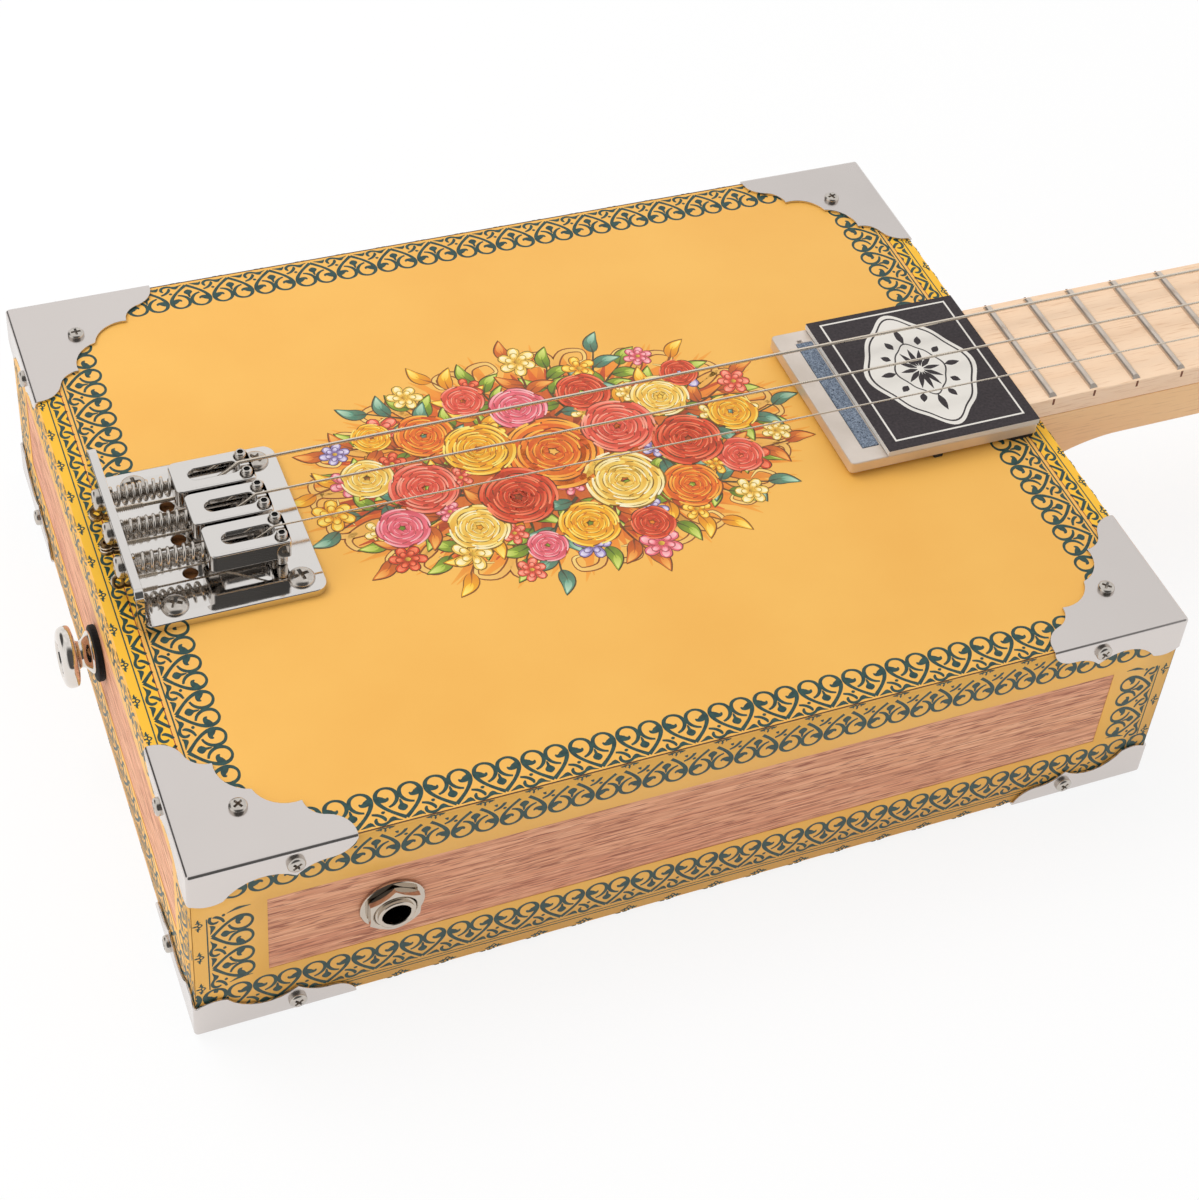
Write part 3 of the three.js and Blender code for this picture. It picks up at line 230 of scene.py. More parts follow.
def make(name, shape, finish, body="root", stands_for=(), sharp=35,
         outward=None, closed=True):
    """A piece from points and faces. Doubled points are merged. A closed skin is turned to face
    out, and so is an open one where a place inside it is given. Edges past an angle stay sharp."""
    mesh = bpy.data.meshes.new(name)
    mesh.from_pydata(shape[0], [], shape[1])
    work = bmesh.new()
    work.from_mesh(mesh)
    bmesh.ops.remove_doubles(work, verts=work.verts, dist=1e-7)
    if closed or outward is not None:
        bmesh.ops.recalc_face_normals(work, faces=work.faces)
    if outward is not None:
        inside = np.array(outward)
        lean = sum((np.array(f.calc_center_median()) - inside) @ f.normal * f.calc_area()
                   for f in work.faces)
        if lean < 0:
            bmesh.ops.reverse_faces(work, faces=work.faces)
    work.to_mesh(mesh)
    work.free()
    mesh.shade_smooth()
    mesh.set_sharp_from_angle(angle=math.radians(sharp))
    mesh.materials.append(finish.material)
    piece = bpy.data.objects.new(name, mesh)
    bpy.context.scene.collection.objects.link(piece)
    if body:
        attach(piece, body)
    if stands_for:
        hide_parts(*stands_for)
    return piece


def eased(piece, width, steps=2, angle=40):
    """Rounds a piece's edges by a width in millimetres, and keeps its flat faces flat."""
    bevel = piece.modifiers.new("eased_edges", "BEVEL")
    bevel.width = width * MM
    bevel.segments = steps
    bevel.angle_limit = math.radians(angle)
    flat = piece.modifiers.new("flat_faces", "WEIGHTED_NORMAL")
    flat.keep_sharp = False
    piece.data.attributes.remove(piece.data.attributes["sharp_edge"])
    return piece


def thickened(piece, depth):
    """Gives an open sheet a depth in millimetres, inwards from its outer face."""
    thick = piece.modifiers.new("sheet", "SOLIDIFY")
    thick.thickness = depth * MM
    thick.offset = -1
    return piece


# The paper's thickness, and the radius of its fold over an edge.
PAPER = 0.12
PAPER_FOLD = 0.4
box_low = np.array(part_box("wall_jack_side")[0]) / MM
box_high = np.array(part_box("wall_far_side")[1]) / MM
box_middle = (box_low + box_high) / 2
box_half = (box_high - box_low) / 2
BOX_INSIDE = box_middle * MM

# Each face of the box: how its drawing's two axes lie, and which way it looks.
FACES = {
    "lid": ((1, 0, 0), (0, 1, 0), (0, 0, 1)),
    "back": ((1, 0, 0), (0, -1, 0), (0, 0, -1)),
    "jack_side": ((1, 0, 0), (0, 0, 1), (0, -1, 0)),
    "far_side": ((-1, 0, 0), (0, 0, 1), (0, 1, 0)),
    "tail": ((0, -1, 0), (0, 0, 1), (-1, 0, 0)),
    "neck_end": ((0, 1, 0), (0, 0, 1), (1, 0, 0)),
}


def on_face(face, drawing, lift):
    """Points of a drawing, in millimetres from the middle of a face, laid on it at a lift."""
    right, up, out = np.array(FACES[face], float)
    drawing = np.asarray(drawing, float)
    reach = np.abs(out) @ box_half + lift
    spot = drawing[..., :1] * right + drawing[..., 1:2] * up + reach * out + box_middle
    return spot * MM


def face_half(face):
    """Half the width and half the height of a face, in its own drawing."""
    right, up, _ = np.abs(np.array(FACES[face], float))
    return np.array([right @ box_half, up @ box_half])


def oblong(half, middle=(0.0, 0.0)):
    """The four corners of an oblong about its middle."""
    return np.array([(-1, -1), (1, -1), (1, 1), (-1, 1)]) * half + np.array(middle)


def paper_finish(name, light, dark):
    """Golden paper: faint clouds of colour and the fine tooth of its fibres."""
    finish = Finish(name, roughness=0.5)
    clouds = finish.share(finish.grain(28, 6), 0.3, 0.7)
    fibres = finish.grain(1600, 3)
    finish.coloured(finish.mixed(clouds, tint(light), tint(dark)))
    finish.roughened(fibres, 0.4, 0.58)
    finish.raised(fibres, 0.012)
    return finish


paper = paper_finish("golden_paper", "F8BE5C", "F4B654")
bright_paper = paper_finish("bright_yellow_print", "FFC637", "FBBE30")


def rolled_edge(face):
    """Rings of paper that roll over the edges of a face: in and up by the fold's radius less its
    cosine and its sine."""
    rings = []
    for turn in np.linspace(0, math.pi / 2, 5):
        half = face_half(face) + PAPER - PAPER_FOLD * (1 - math.cos(turn))
        rings.append(on_face(face, oblong(half), PAPER - PAPER_FOLD * (1 - math.sin(turn))))
    return rings


make("lid_paper", loft(rolled_edge("lid"), (False, True)), paper, outward=BOX_INSIDE, closed=False)

# The sheets on the walls and the back leave a window of bare wood. The one at the neck's end also
# stops at the sides of the neck, which comes out through it.
# The borders are each wall's end, top and bottom widths of paper.
NECK_HALF = 18.7
NECK_FLOOR = 32.9
WINDOW_BORDERS = {"jack_side": (15.7, 13.5, 15.6), "far_side": (15.7, 13.5, 15.6),
                  "tail": (15.2, 13.5, 15.6), "neck_end": (15.2, 13.5, 15.6),
                  "back": (19, 19, 19)}
neck_floor = NECK_FLOOR - box_middle[2]


def sheet(name, face, xs, ys, covered):
    """Paper over a grid of columns and rows on a face, in every cell that is covered."""
    cells = []
    for i in range(len(xs) - 1):
        for j in range(len(ys) - 1):
            if covered(i, j):
                corners = [(xs[i], ys[j]), (xs[i + 1], ys[j]), (xs[i + 1], ys[j + 1]),
                           (xs[i], ys[j + 1])]
                cells.append((on_face(face, corners, PAPER), [[0, 1, 2, 3]]))
    piece = make(name, gathered(*cells), paper, outward=BOX_INSIDE, closed=False)
    thickened(piece, PAPER * 0.9)


for face, (ends, top, bottom) in WINDOW_BORDERS.items():
    wide, tall = face_half(face)
    reach = wide + PAPER - (PAPER_FOLD if face == "back" else 0)
    rise = tall + PAPER - PAPER_FOLD
    xs = [-reach, -wide + ends, wide - ends, reach]
    ys = [-rise, -tall + bottom, tall - top, rise]
    if face == "neck_end":
        xs[2:2] = [-NECK_HALF, NECK_HALF]
        sheet("paper_neck_end", face, xs, ys,
              lambda i, j: not (j == 1 and 0 < i < 4) and not (i == 2 and j == 2))
    else:
        sheet(f"paper_{face}", face, xs, ys, lambda i, j: (i, j) != (1, 1))
make("back_paper_edge", loft(rolled_edge("back"), (False, False)), paper, outward=BOX_INSIDE,
     closed=False)


# The border print: one scroll pattern of hearts, spades and knots in dark green ink, run along
# every edge of the paper between thin lines, with a row of small fleurs outside it.
def curve(points, steps=5):
    """Points along a smooth line through given ones: on each stretch the cubic whose slopes at
    its ends are half the step between the neighbours on either side."""
    p = np.asarray(points, float)
    p = np.vstack([2 * p[0] - p[1], p, 2 * p[-1] - p[-2]])
    a, b, c, d = (p[i : len(p) - 3 + i, None] for i in range(4))
    t = np.linspace(0, 1, steps, endpoint=False)[:, None]
    square, cube = 2 * a - 5 * b + 4 * c - d, 3 * b - a - 3 * c + d
    runs = 0.5 * (2 * b + (c - a) * t + square * t**2 + cube * t**3)
    return np.vstack([runs.reshape(-1, p.shape[1]), p[-2]])


def ribbon(path, widths):
    """A flat stroke along a path, as wide at each point as its share of the widths given."""
    path = np.asarray(path, float)
    slope = np.gradient(path, axis=0)
    side = np.stack([-slope[:, 1], slope[:, 0]], -1) / np.hypot(*slope.T)[:, None]
    widths = np.atleast_1d(widths)
    wide = np.interp(np.linspace(0, 1, len(path)), np.linspace(0, 1, len(widths)), widths)
    half = side * wide[:, None] / 2
    n = np.arange(len(path) - 1)
    faces = np.stack([2 * n, 2 * n + 2, 2 * n + 3, 2 * n + 1], -1)
    return np.stack([path - half, path + half], 1).reshape(-1, 2), faces.tolist()


SCROLL_STEP = 10.75
flip = np.array((-1, 1))
heart = curve([(0, 0.3), (1.45, 1.5), (2.8, 2.75), (4.0, 4.2), (4.65, 5.5), (4.8, 6.7), (4.4, 7.9),
               (3.35, 8.7), (2.1, 8.75), (0.95, 8.15), (0.38, 7.1), (0.38, 5.9), (0.95, 4.85),
               (1.8, 4.15), (2.75, 3.8)], 3)
HEART_PEN = (0.95, 0.8, 0.76, 0.85, 1.0, 1.05, 0.85, 0.62, 0.62, 0.78, 0.9, 0.9, 0.8, 0.66, 0.5)
comma = curve([(4.9, 7.3), (4.4, 6.55), (3.75, 6.0), (3.1, 5.75), (2.55, 5.85), (2.3, 6.3)], 3)
COMMA_PEN = (0.4, 1.3, 1.55, 1.1, 0.8, 0.3)
drop = [(0, v) for v in (5.2, 4.6, 4.05, 3.7, 3.3, 2.85, 2.45, 2.1)]
hearts = [ribbon(heart, HEART_PEN), ribbon(heart * flip, HEART_PEN),
          ribbon(comma, COMMA_PEN), ribbon(comma * flip, COMMA_PEN),
          ribbon(curve(drop, 2), (0.3, 0.6, 0.7, 1.35, 2.05, 2.1, 1.5, 0.4))]
knots = [
    ribbon(curve([(4.0, 2.9), (5.1, 2.5), (5.9, 1.85), (6.35, 1.15), (6.3, 0.55)], 3),
           (0.5, 0.72, 0.8, 0.8, 0.35)),
    ribbon(curve([(4.75, 1.75), (4.42, 1.2), (4.45, 0.5), (5.1, -0.05), (6.1, -0.1),
                  (7.1, 0.3)], 3), (0.35, 0.75, 0.8, 0.75, 0.7, 0.6)),
    ribbon(curve([(6.7, 0.1), (7.4, 0.5), (8.05, 0.7), (8.8, 0.3), (9.8, -0.1)], 3),
           (0.4, 0.9, 1.2, 0.5, 0.1)),
    ribbon([(6.0, 2.72), (6.25, 2.78), (6.55, 2.85), (6.85, 2.92)], (0.3, 0.72, 0.72, 0.2)),
    ribbon(curve([(0.9, 0.0), (2.1, 0.3), (3.1, 0.55), (3.9, -0.1)], 3), (0.12, 0.65, 1.15, 0.15)),
]
scroll = hearts + knots
leaf_end = [ribbon(curve([(0, 0), (0.9, 2.4), (0.9, 5.0)], 4), (0.15, 0.55, 0.9, 0.5, 0.15))]

# A fleur is a ring with two arms, two barbs and a spine.
FLEUR_SIZE = 0.8
arm = curve([(0.5, 0.95), (1.2, 0.7), (1.9, 0.55), (2.6, 0.75)], 3)
barb = np.array([(1.15, -0.1), (1.15 * 1.05, 0.5), (1.15 * 1.25, 1.35)])
fleur = [ribbon(curve([(0, 0.45), (0.62, 1.05), (0, 1.7), (-0.62, 1.05), (0, 0.45)], 3), 0.42),
         *[ribbon(arm * side, (0.25, 0.75, 0.6, 0.1)) for side in (flip, 1)],
         *[ribbon(barb * side, (0.2, 0.5, 0.15)) for side in (flip, 1)],
         ribbon([(0, 0.5), (0, -0.3), (0, -0.9)], (0.35, 0.7, 0.1))]
fleur = [(points * FLEUR_SIZE, faces) for points, faces in fleur]

# Strokes that cross lie at heights of their own: each motif stroke, and the straight lines.
LAYER = 0.002
LINE_LAYER = 0.012


def band(motif, start, end, out, first, low=-9.0, high=20.0, step=SCROLL_STEP):
    """Copies of a motif along a line from start to end, its own height along out. The first
    stands at a place along the line, and strokes past the ends or the heights are left off."""
    start, end = np.array(start, float), np.array(end, float)
    long = np.hypot(*(end - start))
    along = (end - start) / long
    stamps = []
    for level, (points, faces) in enumerate(motif):
        faces = np.array(faces)
        places = first % step + step * np.arange(-1, int(long / step) + 2)
        moved = points[None] + np.stack([places, 0 * places], -1)[:, None]
        many = (faces[None] + len(points) * np.arange(len(places))[:, None, None]).reshape(-1, 4)
        moved = moved.reshape(-1, 2)
        middle = moved[many].mean(axis=1)
        kept = ((middle > (0, low)) & (middle < (long, high))).all(axis=1)
        flat = start + moved[:, :1] * along + moved[:, 1:] * np.array(out, float)
        stamps.append((np.column_stack([flat, np.full(len(flat), LAYER * level)]),
                       many[kept].tolist()))
    return stamps


def line(start, end, width, level=LINE_LAYER):
    """A straight printed line, a hair above the strokes that it crosses."""
    points, faces = ribbon(np.linspace(start, end, 2), width)
    return [(np.column_stack([points, np.full(len(points), level)]), faces)]


def printed(name, face, stamps, finish, lift):
    """Strokes drawn on a face of the box, as one thin print over its paper. What lies past the
    face's own edges is left off, or drawn back to them."""
    points, faces = gathered(*stamps)
    faces = np.array(faces)
    limit = face_half(face) + PAPER
    middle = points[faces].mean(axis=1)
    faces = faces[(np.abs(middle[:, :2]) < limit).all(axis=1)]
    used, faces = np.unique(faces, return_inverse=True)
    points = points[used]
    points[:, :2] = np.clip(points[:, :2], -limit, limit)
    flat = on_face(face, points[:, :2], 0.0)
    flat = flat + np.array(FACES[face][2], float) * (PAPER + lift + points[:, 2:]) * MM
    make(name, (flat, faces.reshape(-1, 4).tolist()), finish, outward=BOX_INSIDE, closed=False)


ink = Finish("dark_green_ink", roughness=0.42)
wear = ink.share(ink.grain(900, 3), 0.35, 0.65)
ink.coloured(ink.mixed(wear, tint("173836"), tint("274C46")))
red_ink = Finish("red_line_ink", "A8442C", roughness=0.45)
brown_ink = Finish("brown_edge_ink", "4E2A16", roughness=0.45)

# How far the drawings run out past the box, how high a scroll's strokes stand, how wide the bright
# strips at the lid's ends are, and how the rows across those ends are spaced from their middle.
EDGE = 0.8
SCROLL_HIGH = 9.5
HALF_HIGH = 2.6
END_STRIP = 7.3
ROW_STEP = 10.69
ROW_MIDDLE = 90.6
HALF_ROW = 5.25
FLEUR_ON = 6.2
half_x, half_y = face_half("lid")
near, far, tail, head = -half_y - EDGE, half_y + EDGE, -half_x - EDGE, half_x + EDGE
stamps, bright, red, brown = [], [], [], []
for y, inward, first in ((near + 1.6, 1, 3.33), (far - 1.9, -1, 1.33)):
    stamps += band(scroll, (tail + END_STRIP, y), (head - END_STRIP, y), (0, inward),
                   first + SCROLL_STEP - END_STRIP, -1, SCROLL_HIGH)
for end, inward in ((tail, 1), (head, -1)):
    rule = lambda inset, clear: ((end + inward * inset, near + clear),
                                 (end + inward * inset, far - clear))
    for inset, high, clear in ((8.2, SCROLL_HIGH, 12.0), (3.85, HALF_HIGH, 1.3)):
        stamps += band(scroll, *rule(inset, clear), (inward, 0), ROW_MIDDLE - clear + HALF_ROW,
                       -0.6, high, ROW_STEP)
    stamps += band(fleur, *rule(0.9, 1.3), (inward, 0), ROW_MIDDLE - 1.3 + HALF_ROW + FLEUR_ON,
                   step=ROW_STEP)
    stamps += line(*rule(3.0, 1.0), 0.3) + line(*rule(7.55, 1.0), 0.34)
    bright += line(*rule(3.65, 1.1), 5.6, 0)
    red += line(*rule(6.5, 1.0), 0.22, 0)
for y in (near + 0.95, far - 0.95):
    brown += line((tail + 1.0, y), (head - 1.0, y), 0.3, 0)
printed("lid_border", "lid", stamps, ink, 0.01)
printed("lid_bright_strips", "lid", bright, bright_paper, 0.004)
printed("lid_red_lines", "lid", red, red_ink, 0.01)
printed("lid_edge_lines", "lid", brown, brown_ink, 0.03)

# Each wall has a scroll along its top and its bottom, and two hearts at either end of its window,
# whose drops from the top are given.
UPPER_HEART = 22.05
LOWER_HEART = 33.15
for face in WINDOW_BORDERS:
    wide, tall = face_half(face)
    top, bottom, long = tall + EDGE, -tall - EDGE, wide + EDGE
    firsts = (SCROLL_STEP / 2 + 1, SCROLL_STEP / 2 + 1, 1.0, 1.0)
    if face in ("jack_side", "far_side"):
        firsts = (7.15, 7.5, 9.1, 2.65)
    run = lambda z: ((-long, z), (long, z))
    stamps = band(scroll, *run(top - 1.7), (0, -1), firsts[0], 1.0, SCROLL_HIGH)
    stamps += band(fleur, *run(top - 1.5), (0, 1), firsts[2], high=1.0)
    stamps += band(scroll, *run(bottom + 5.4), (0, 1), firsts[1], -1, SCROLL_HIGH)
    stamps += band(fleur, *run(bottom + 1.1), (0, 1), firsts[3])
    for z, thick in ((bottom + 4.45, 0.2), (bottom + 3.6, 0.26)):
        stamps += line((-wide, z), (wide, z), thick)
    for end, inward in ((-long, 1), (long, -1)):
        upper, lower = top - UPPER_HEART, top - LOWER_HEART
        rule = lambda inset, low, high: ((end + inward * inset, low), (end + inward * inset, high))
        stamps += band(hearts, *rule(4.55, lower - 5.3, upper + 5.3), (inward, 0), 5.3, -0.6,
                       SCROLL_HIGH, upper - lower)
        stamps += band(knots, *rule(4.55, lower - 8.7, upper + 6.8), (inward, 0), 8.7, -0.6,
                       SCROLL_HIGH, upper - lower)
        for z in (upper + 6.7, lower - 6.2):
            stamps += band(leaf_end, *rule(4.55 + 3.5, z - 2, z + 2), (inward, 0), 2.0, step=99.0)
        stamps += band(fleur, *rule(1.55, top - 41, top - 13), (inward, 0), 1.8, step=11.0)
        stamps += line(*rule(3.85, top - 40.2, top - 15.6), 0.28)
    if face == "neck_end":
        clear = lambda p: (np.abs(p[:, 0]) > NECK_HALF + 0.3) | (p[:, 1] < neck_floor - 0.3)
        stamps = [(p, np.array(faces, int).reshape(-1, 4)) for p, faces in stamps]
        stamps = [(p, faces[clear(p)[faces].all(axis=1)].tolist()) for p, faces in stamps]
    printed(f"border_{face}", face, stamps, ink, 0.01)

wide, tall = face_half("back")
stamps = []
for y, out in ((-tall + 1.2, 1), (tall - 1.2, -1)):
    stamps += band(scroll, (-wide, y + 3.4 * out), (wide, y + 3.4 * out), (0, out), 6.0, -1,
                   SCROLL_HIGH)
    stamps += line((-wide + 1, y + 2.6 * out), (wide - 1, y + 2.6 * out), 0.22)
for x, out in ((-wide + 1.2, 1), (wide - 1.2, -1)):
    stamps += band(scroll, (x + 3.4 * out, -tall + 15), (x + 3.4 * out, tall - 15), (out, 0), 3.0,
                   -1, SCROLL_HIGH)
    stamps += line((x + 2.6 * out, -tall + 1), (x + 2.6 * out, tall - 1), 0.22)
printed("border_back", "back", stamps, ink, 0.01)


# The middle print: a spray of garden flowers in many inks, printed flat on the lid. Each petal is a
# few flat strokes, a dark edge, a body that shades from root to tip, and a pale lip.
PETAL_SHARE = np.linspace(0, 1, 13)
ROUND_PETAL = 1.15 * np.sqrt(PETAL_SHARE) * np.sqrt(1 - PETAL_SHARE**4)
LIP = (0.1, 0.35, 0.5, 0.58, 0.55, 0.45, 0.2)
VEIN = (0.13, 0.07, 0.02)
POINTED_LEAF = 1.1 * np.sin(math.pi * PETAL_SHARE**0.8) ** 0.8 * (1 - 0.25 * PETAL_SHARE)


def petal(at, lean, long, wide, inks, level, outline=ROUND_PETAL, bend=0.09):
    """One petal from its root, as strokes along a bent line that are as wide at each share of it
    as the outline. The inks are for its edge, its root, its tip and its lip."""
    edge_ink, root_ink, tip_ink, lip_ink = inks
    way = np.array((math.cos(lean), math.sin(lean))) * long
    path = curve([way * 0.04, way * 0.5 + np.array((-way[1], way[0])) * bend, way], 6)
    swell = outline * wide
    return [(at + path, swell, level, edge_ink, edge_ink),
            (at + path * 0.95, swell * 0.86, level + 0.4, root_ink, tip_ink),
            (at + path[5:12] * 0.97, swell[5:12] * LIP, level + 0.6, tip_ink, lip_ink),
            (at + path[:8] * 0.92, np.array(VEIN) * wide, level + 0.7, edge_ink, root_ink)]


def blossom(at, size, inks, petals, rings, width, twist, level):
    """Rings of petals round a place, each ring smaller and higher than the last, and turned on by
    a little over half a petal."""
    strokes = []
    for ring in range(rings):
        long = size * (1 - 0.78 * ring / rings)
        for n in range(petals):
            lean = twist + 0.62 * ring + math.tau * (n + 0.5 * (ring % 2)) / petals
            reach = long * (1 + 0.07 * math.sin(2.3 * n + 1.7 * ring))
            strokes += petal(np.array(at), lean, reach, width * long, inks,
                             level + ring * 4 + n % 3)
    return strokes


def rose(at, size, inks, level, twist, rings=6):
    """Rings of five broad petals, each a bent stroke round the middle with a dark edge, a body that
    shades along it and a thin pale lip. Every ring is smaller, higher and turned on."""
    edge_ink, root_ink, tip_ink, lip_ink = inks
    swell = np.sin(np.linspace(0.05, 0.95, 11) * math.pi) ** 0.7
    strokes = []
    for ring in range(rings):
        reach = size * (1 - 0.9 * ring / rings)
        for n in range(5):
            lean = twist + 1.05 * ring + math.tau * n / 5 + 0.12 * math.sin(3 * n + ring)
            turn = np.linspace(lean - 0.85, lean + 0.85, 11)
            way = np.stack([np.cos(turn), np.sin(turn)], -1)
            way *= reach * (1 + 0.05 * math.sin(5.1 * n + 2 * ring))
            low, full = level + 5 * ring + 0.8 * n, reach * swell
            strokes += [(at + way * 0.64, 0.76 * full, low, edge_ink, edge_ink),
                        (at + way * 0.66, 0.6 * full, low + 0.4, root_ink, tip_ink),
                        (at + way * 0.8, 0.2 * full, low + 0.6, tip_ink, root_ink),
                        (at + way[1:8] * 0.93, 0.09 * full[1:8], low + 0.7, lip_ink, tip_ink)]
    return strokes


def leafy(start, end, bend, size, inks, count=5, level=0):
    """A stem with leaves by turns on either side, and one at its tip."""
    start, end = np.array(start, float), np.array(end, float)
    out = np.array((-(end - start)[1], (end - start)[0])) * bend
    stem = curve([start, (start + end) / 2 + out, end], 8)
    strokes = [(stem, (0.9, 0.4), level, inks[0], inks[0])]
    for n in range(count):
        place = int((n + 0.7) / count * (len(stem) - 1))
        slope = stem[min(place + 1, len(stem) - 1)] - stem[place]
        lean = math.atan2(slope[1], slope[0]) + (0.95 if n % 2 else -0.95) * (n < count - 1)
        strokes += petal(stem[place], lean, size, size * 0.46, inks, level + 1 + 1.2 * n,
                         POINTED_LEAF, 0.12)
    return strokes


PRINT_DEPTH = 0.1


def many_inks(name, strokes, origin):
    """All the strokes as one flat print on the lid, with their inks held at its corners. They lie
    in the order of their levels, each a hair above the one before."""
    shapes, shades = [], []
    strokes = sorted(strokes, key=lambda stroke: stroke[2])
    for rank, (path, widths, _, first, last) in enumerate(strokes):
        points, faces = ribbon(path, widths)
        share = np.repeat(np.linspace(0, 1, len(path)), 2)[:, None]
        height = np.full(len(points), PRINT_DEPTH * rank / len(strokes))
        shapes.append((np.column_stack([points + origin, height]), faces))
        shades.append(np.array(tint(first)) * (1 - share) + np.array(tint(last)) * share)
    points, faces = gathered(*shapes)
    flat = on_face("lid", points[:, :2], 0.0)
    flat = flat + np.array(FACES["lid"][2], float) * (PAPER + 0.01 + points[:, 2:]) * MM
    mesh = bpy.data.meshes.new(name)
    mesh.from_pydata(flat, [], faces)
    mesh.materials.append(picture_ink.material)
    inks = mesh.color_attributes.new("ink", "FLOAT_COLOR", "CORNER")
    corners = np.empty(len(mesh.loops), int)
    mesh.loops.foreach_get("vertex_index", corners)
    inks.data.foreach_set("color", np.vstack(shades)[corners].ravel())
    piece = bpy.data.objects.new(name, mesh)
    scene.collection.objects.link(piece)
    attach(piece, "root")


picture_ink = Finish("picture_inks", roughness=0.42)
drawn = picture_ink.put("Attribute", attribute_name="ink").outputs["Color"]
speckle = picture_ink.share(picture_ink.grain(1400, 2), 0.3, 0.7)
worn = picture_ink.share(speckle, -0.6, 12.0)
picture_ink.coloured(picture_ink.mixed(worn, drawn, tint("F2BA62")))

# Inks for a flower or a leaf: its edge, its root, its tip and its lip.
ROSE = ("4E0C0C", "A01410", "E2341E", "FF8C68")
CORAL = ("6E1618", "C42A2C", "F4574A", "FFB29C")
PINK = ("741C34", "CC3654", "F4708A", "FFCDD2")
GOLD = ("74380A", "DE7C12", "FFC11C", "FFF182")
CREAM = ("7C5A16", "E6A428", "FFE06E", "FFFCDC")
FLAME = ("641A08", "CE3810", "F57E1C", "FFC850")
VIOLET = ("2C2550", "5C4E96", "A79BD6", "EDE8FA")
LEAF = ("16280E", "3A6A1C", "9CBC30", "E2EC84")
DEEP = ("0E2A28", "1C5C50", "4E9E88", "BFE3C8")
RUST = ("5A1C0A", "AE3C14", "E8781E", "FBC060")

# A warm ground of broad brush strokes in two layers, then gilt scrolls and leaves, then roses and
# small flowers. Each goes round an oval, in millimetres from the middle of the print.
PRINT_MIDDLE = (-4.5, 2.6)
HALO_STROKES = 96
GROUND_STROKES = 80
SCROLLS = 30
SPRAYS = 34
SMALL_FLOWERS = 22
HALO_INKS = ("D9601A", "EE7E22")
GROUND_INKS = (("5E160A", "C8401A"), ("8E2410", "E8641E"), ("7A1C0C", "B8320F"),
               ("B8381A", "F28A2C"))
SPRAY_INKS = (LEAF, DEEP, LEAF, RUST, LEAF, GOLD)
SMALL_INKS = (CREAM, CORAL, VIOLET, PINK, GOLD, CREAM, ROSE)
oval = lambda lean, wide, tall: np.array((wide * math.cos(lean), tall * math.sin(lean)))
strokes = []
for n in range(HALO_STROKES):
    lean = math.tau * n / HALO_STROKES
    start = oval(lean, 44, 27)
    end = oval(lean + 0.05 * (-1) ** n, 60 + 2.5 * (n % 3), 36 + 1.5 * (n % 4))
    strokes.append((curve([start, (start + end) / 2 + (0.8, -0.6), end], 4), (3.2, 2.6, 1.4, 0.2),
                    n % 3, HALO_INKS[n % 2], "F6A83C"))
for n in range(GROUND_STROKES):
    lean = math.tau * n / GROUND_STROKES + 0.05
    start, end = oval(lean, 8, 5), oval(lean + 0.12, 52 + 4 * (n % 3), 31 + 2 * (n % 2))
    strokes.append((curve([start, (start + end) / 2 + (1.5, -1.0), end], 4),
                    (2.5, 4.6, 4.4, 2.8, 0.3), 3 + n % 4, *GROUND_INKS[n % 4]))
for n in range(SCROLLS):
    lean = math.tau * n / SCROLLS
    hub, way = oval(lean, 52, 31), oval(lean, 1, 0.8)
    side = oval(lean + math.pi / 2, 1, 0.8) * (-1) ** n
    turns = ((-10, 0), (-2, 5), (6, 4), (7, -1), (2.5, -2), (1.5, 1.5))
    coil = curve([hub + way * out + side * aside for out, aside in turns], 5)
    strokes.append((coil, (0.6, 2.6, 2.2, 1.5, 1.2, 0.4), 8, "6E2A10", "8E4416"))
    strokes.append((coil, (0.3, 1.7, 1.4, 0.9, 0.7, 0.2), 8.5, "E9982A", "FCE38C"))
for n in range(SPRAYS):
    lean = math.tau * (n + 0.5) / SPRAYS
    start, side = oval(lean, 26, 14), (-1) ** n
    end = oval(lean + 0.2 * side, 53 + 7 * (n % 2), 32 + 5 * (n % 2))
    strokes += leafy(start, end, 0.14 * side, 8.6, SPRAY_INKS[n % 6], 6, 9 + 8 * (n % 2))
small = []
for n in range(SMALL_FLOWERS):
    lean = math.tau * n / SMALL_FLOWERS + 0.1
    small.append((oval(lean, 51 + 5 * (n % 2), 30 + 5 * (n % 2)), 3.8 + 0.7 * (n % 3)))
small += [((-24, 0), 3.6), ((24, -3), 3.8), ((0, -10), 3.4), ((-12, 13), 3.6), ((12, 13), 3.4),
          ((-38, 9), 3.8), ((42, 4), 3.6), ((-18, -21), 3.6), ((16, -23), 3.6), ((-30, -10), 3.4),
          ((36, -13), 3.6), ((25, 17), 3.6)]
for n, (at, size) in enumerate(small):
    strokes += blossom(at, size, SMALL_INKS[n % 7], 5 + n % 2, 2, 0.74, 0.7 * n, 32 + 2 * (n % 3))
    eye = np.array(at) + [(size * share, 0) for share in (-0.16, -0.07, 0.07, 0.16)]
    strokes.append((eye, np.array((0.1, 0.9, 0.9, 0.1)) * size * 0.28, 46, "8A4A12", "F8D04A"))
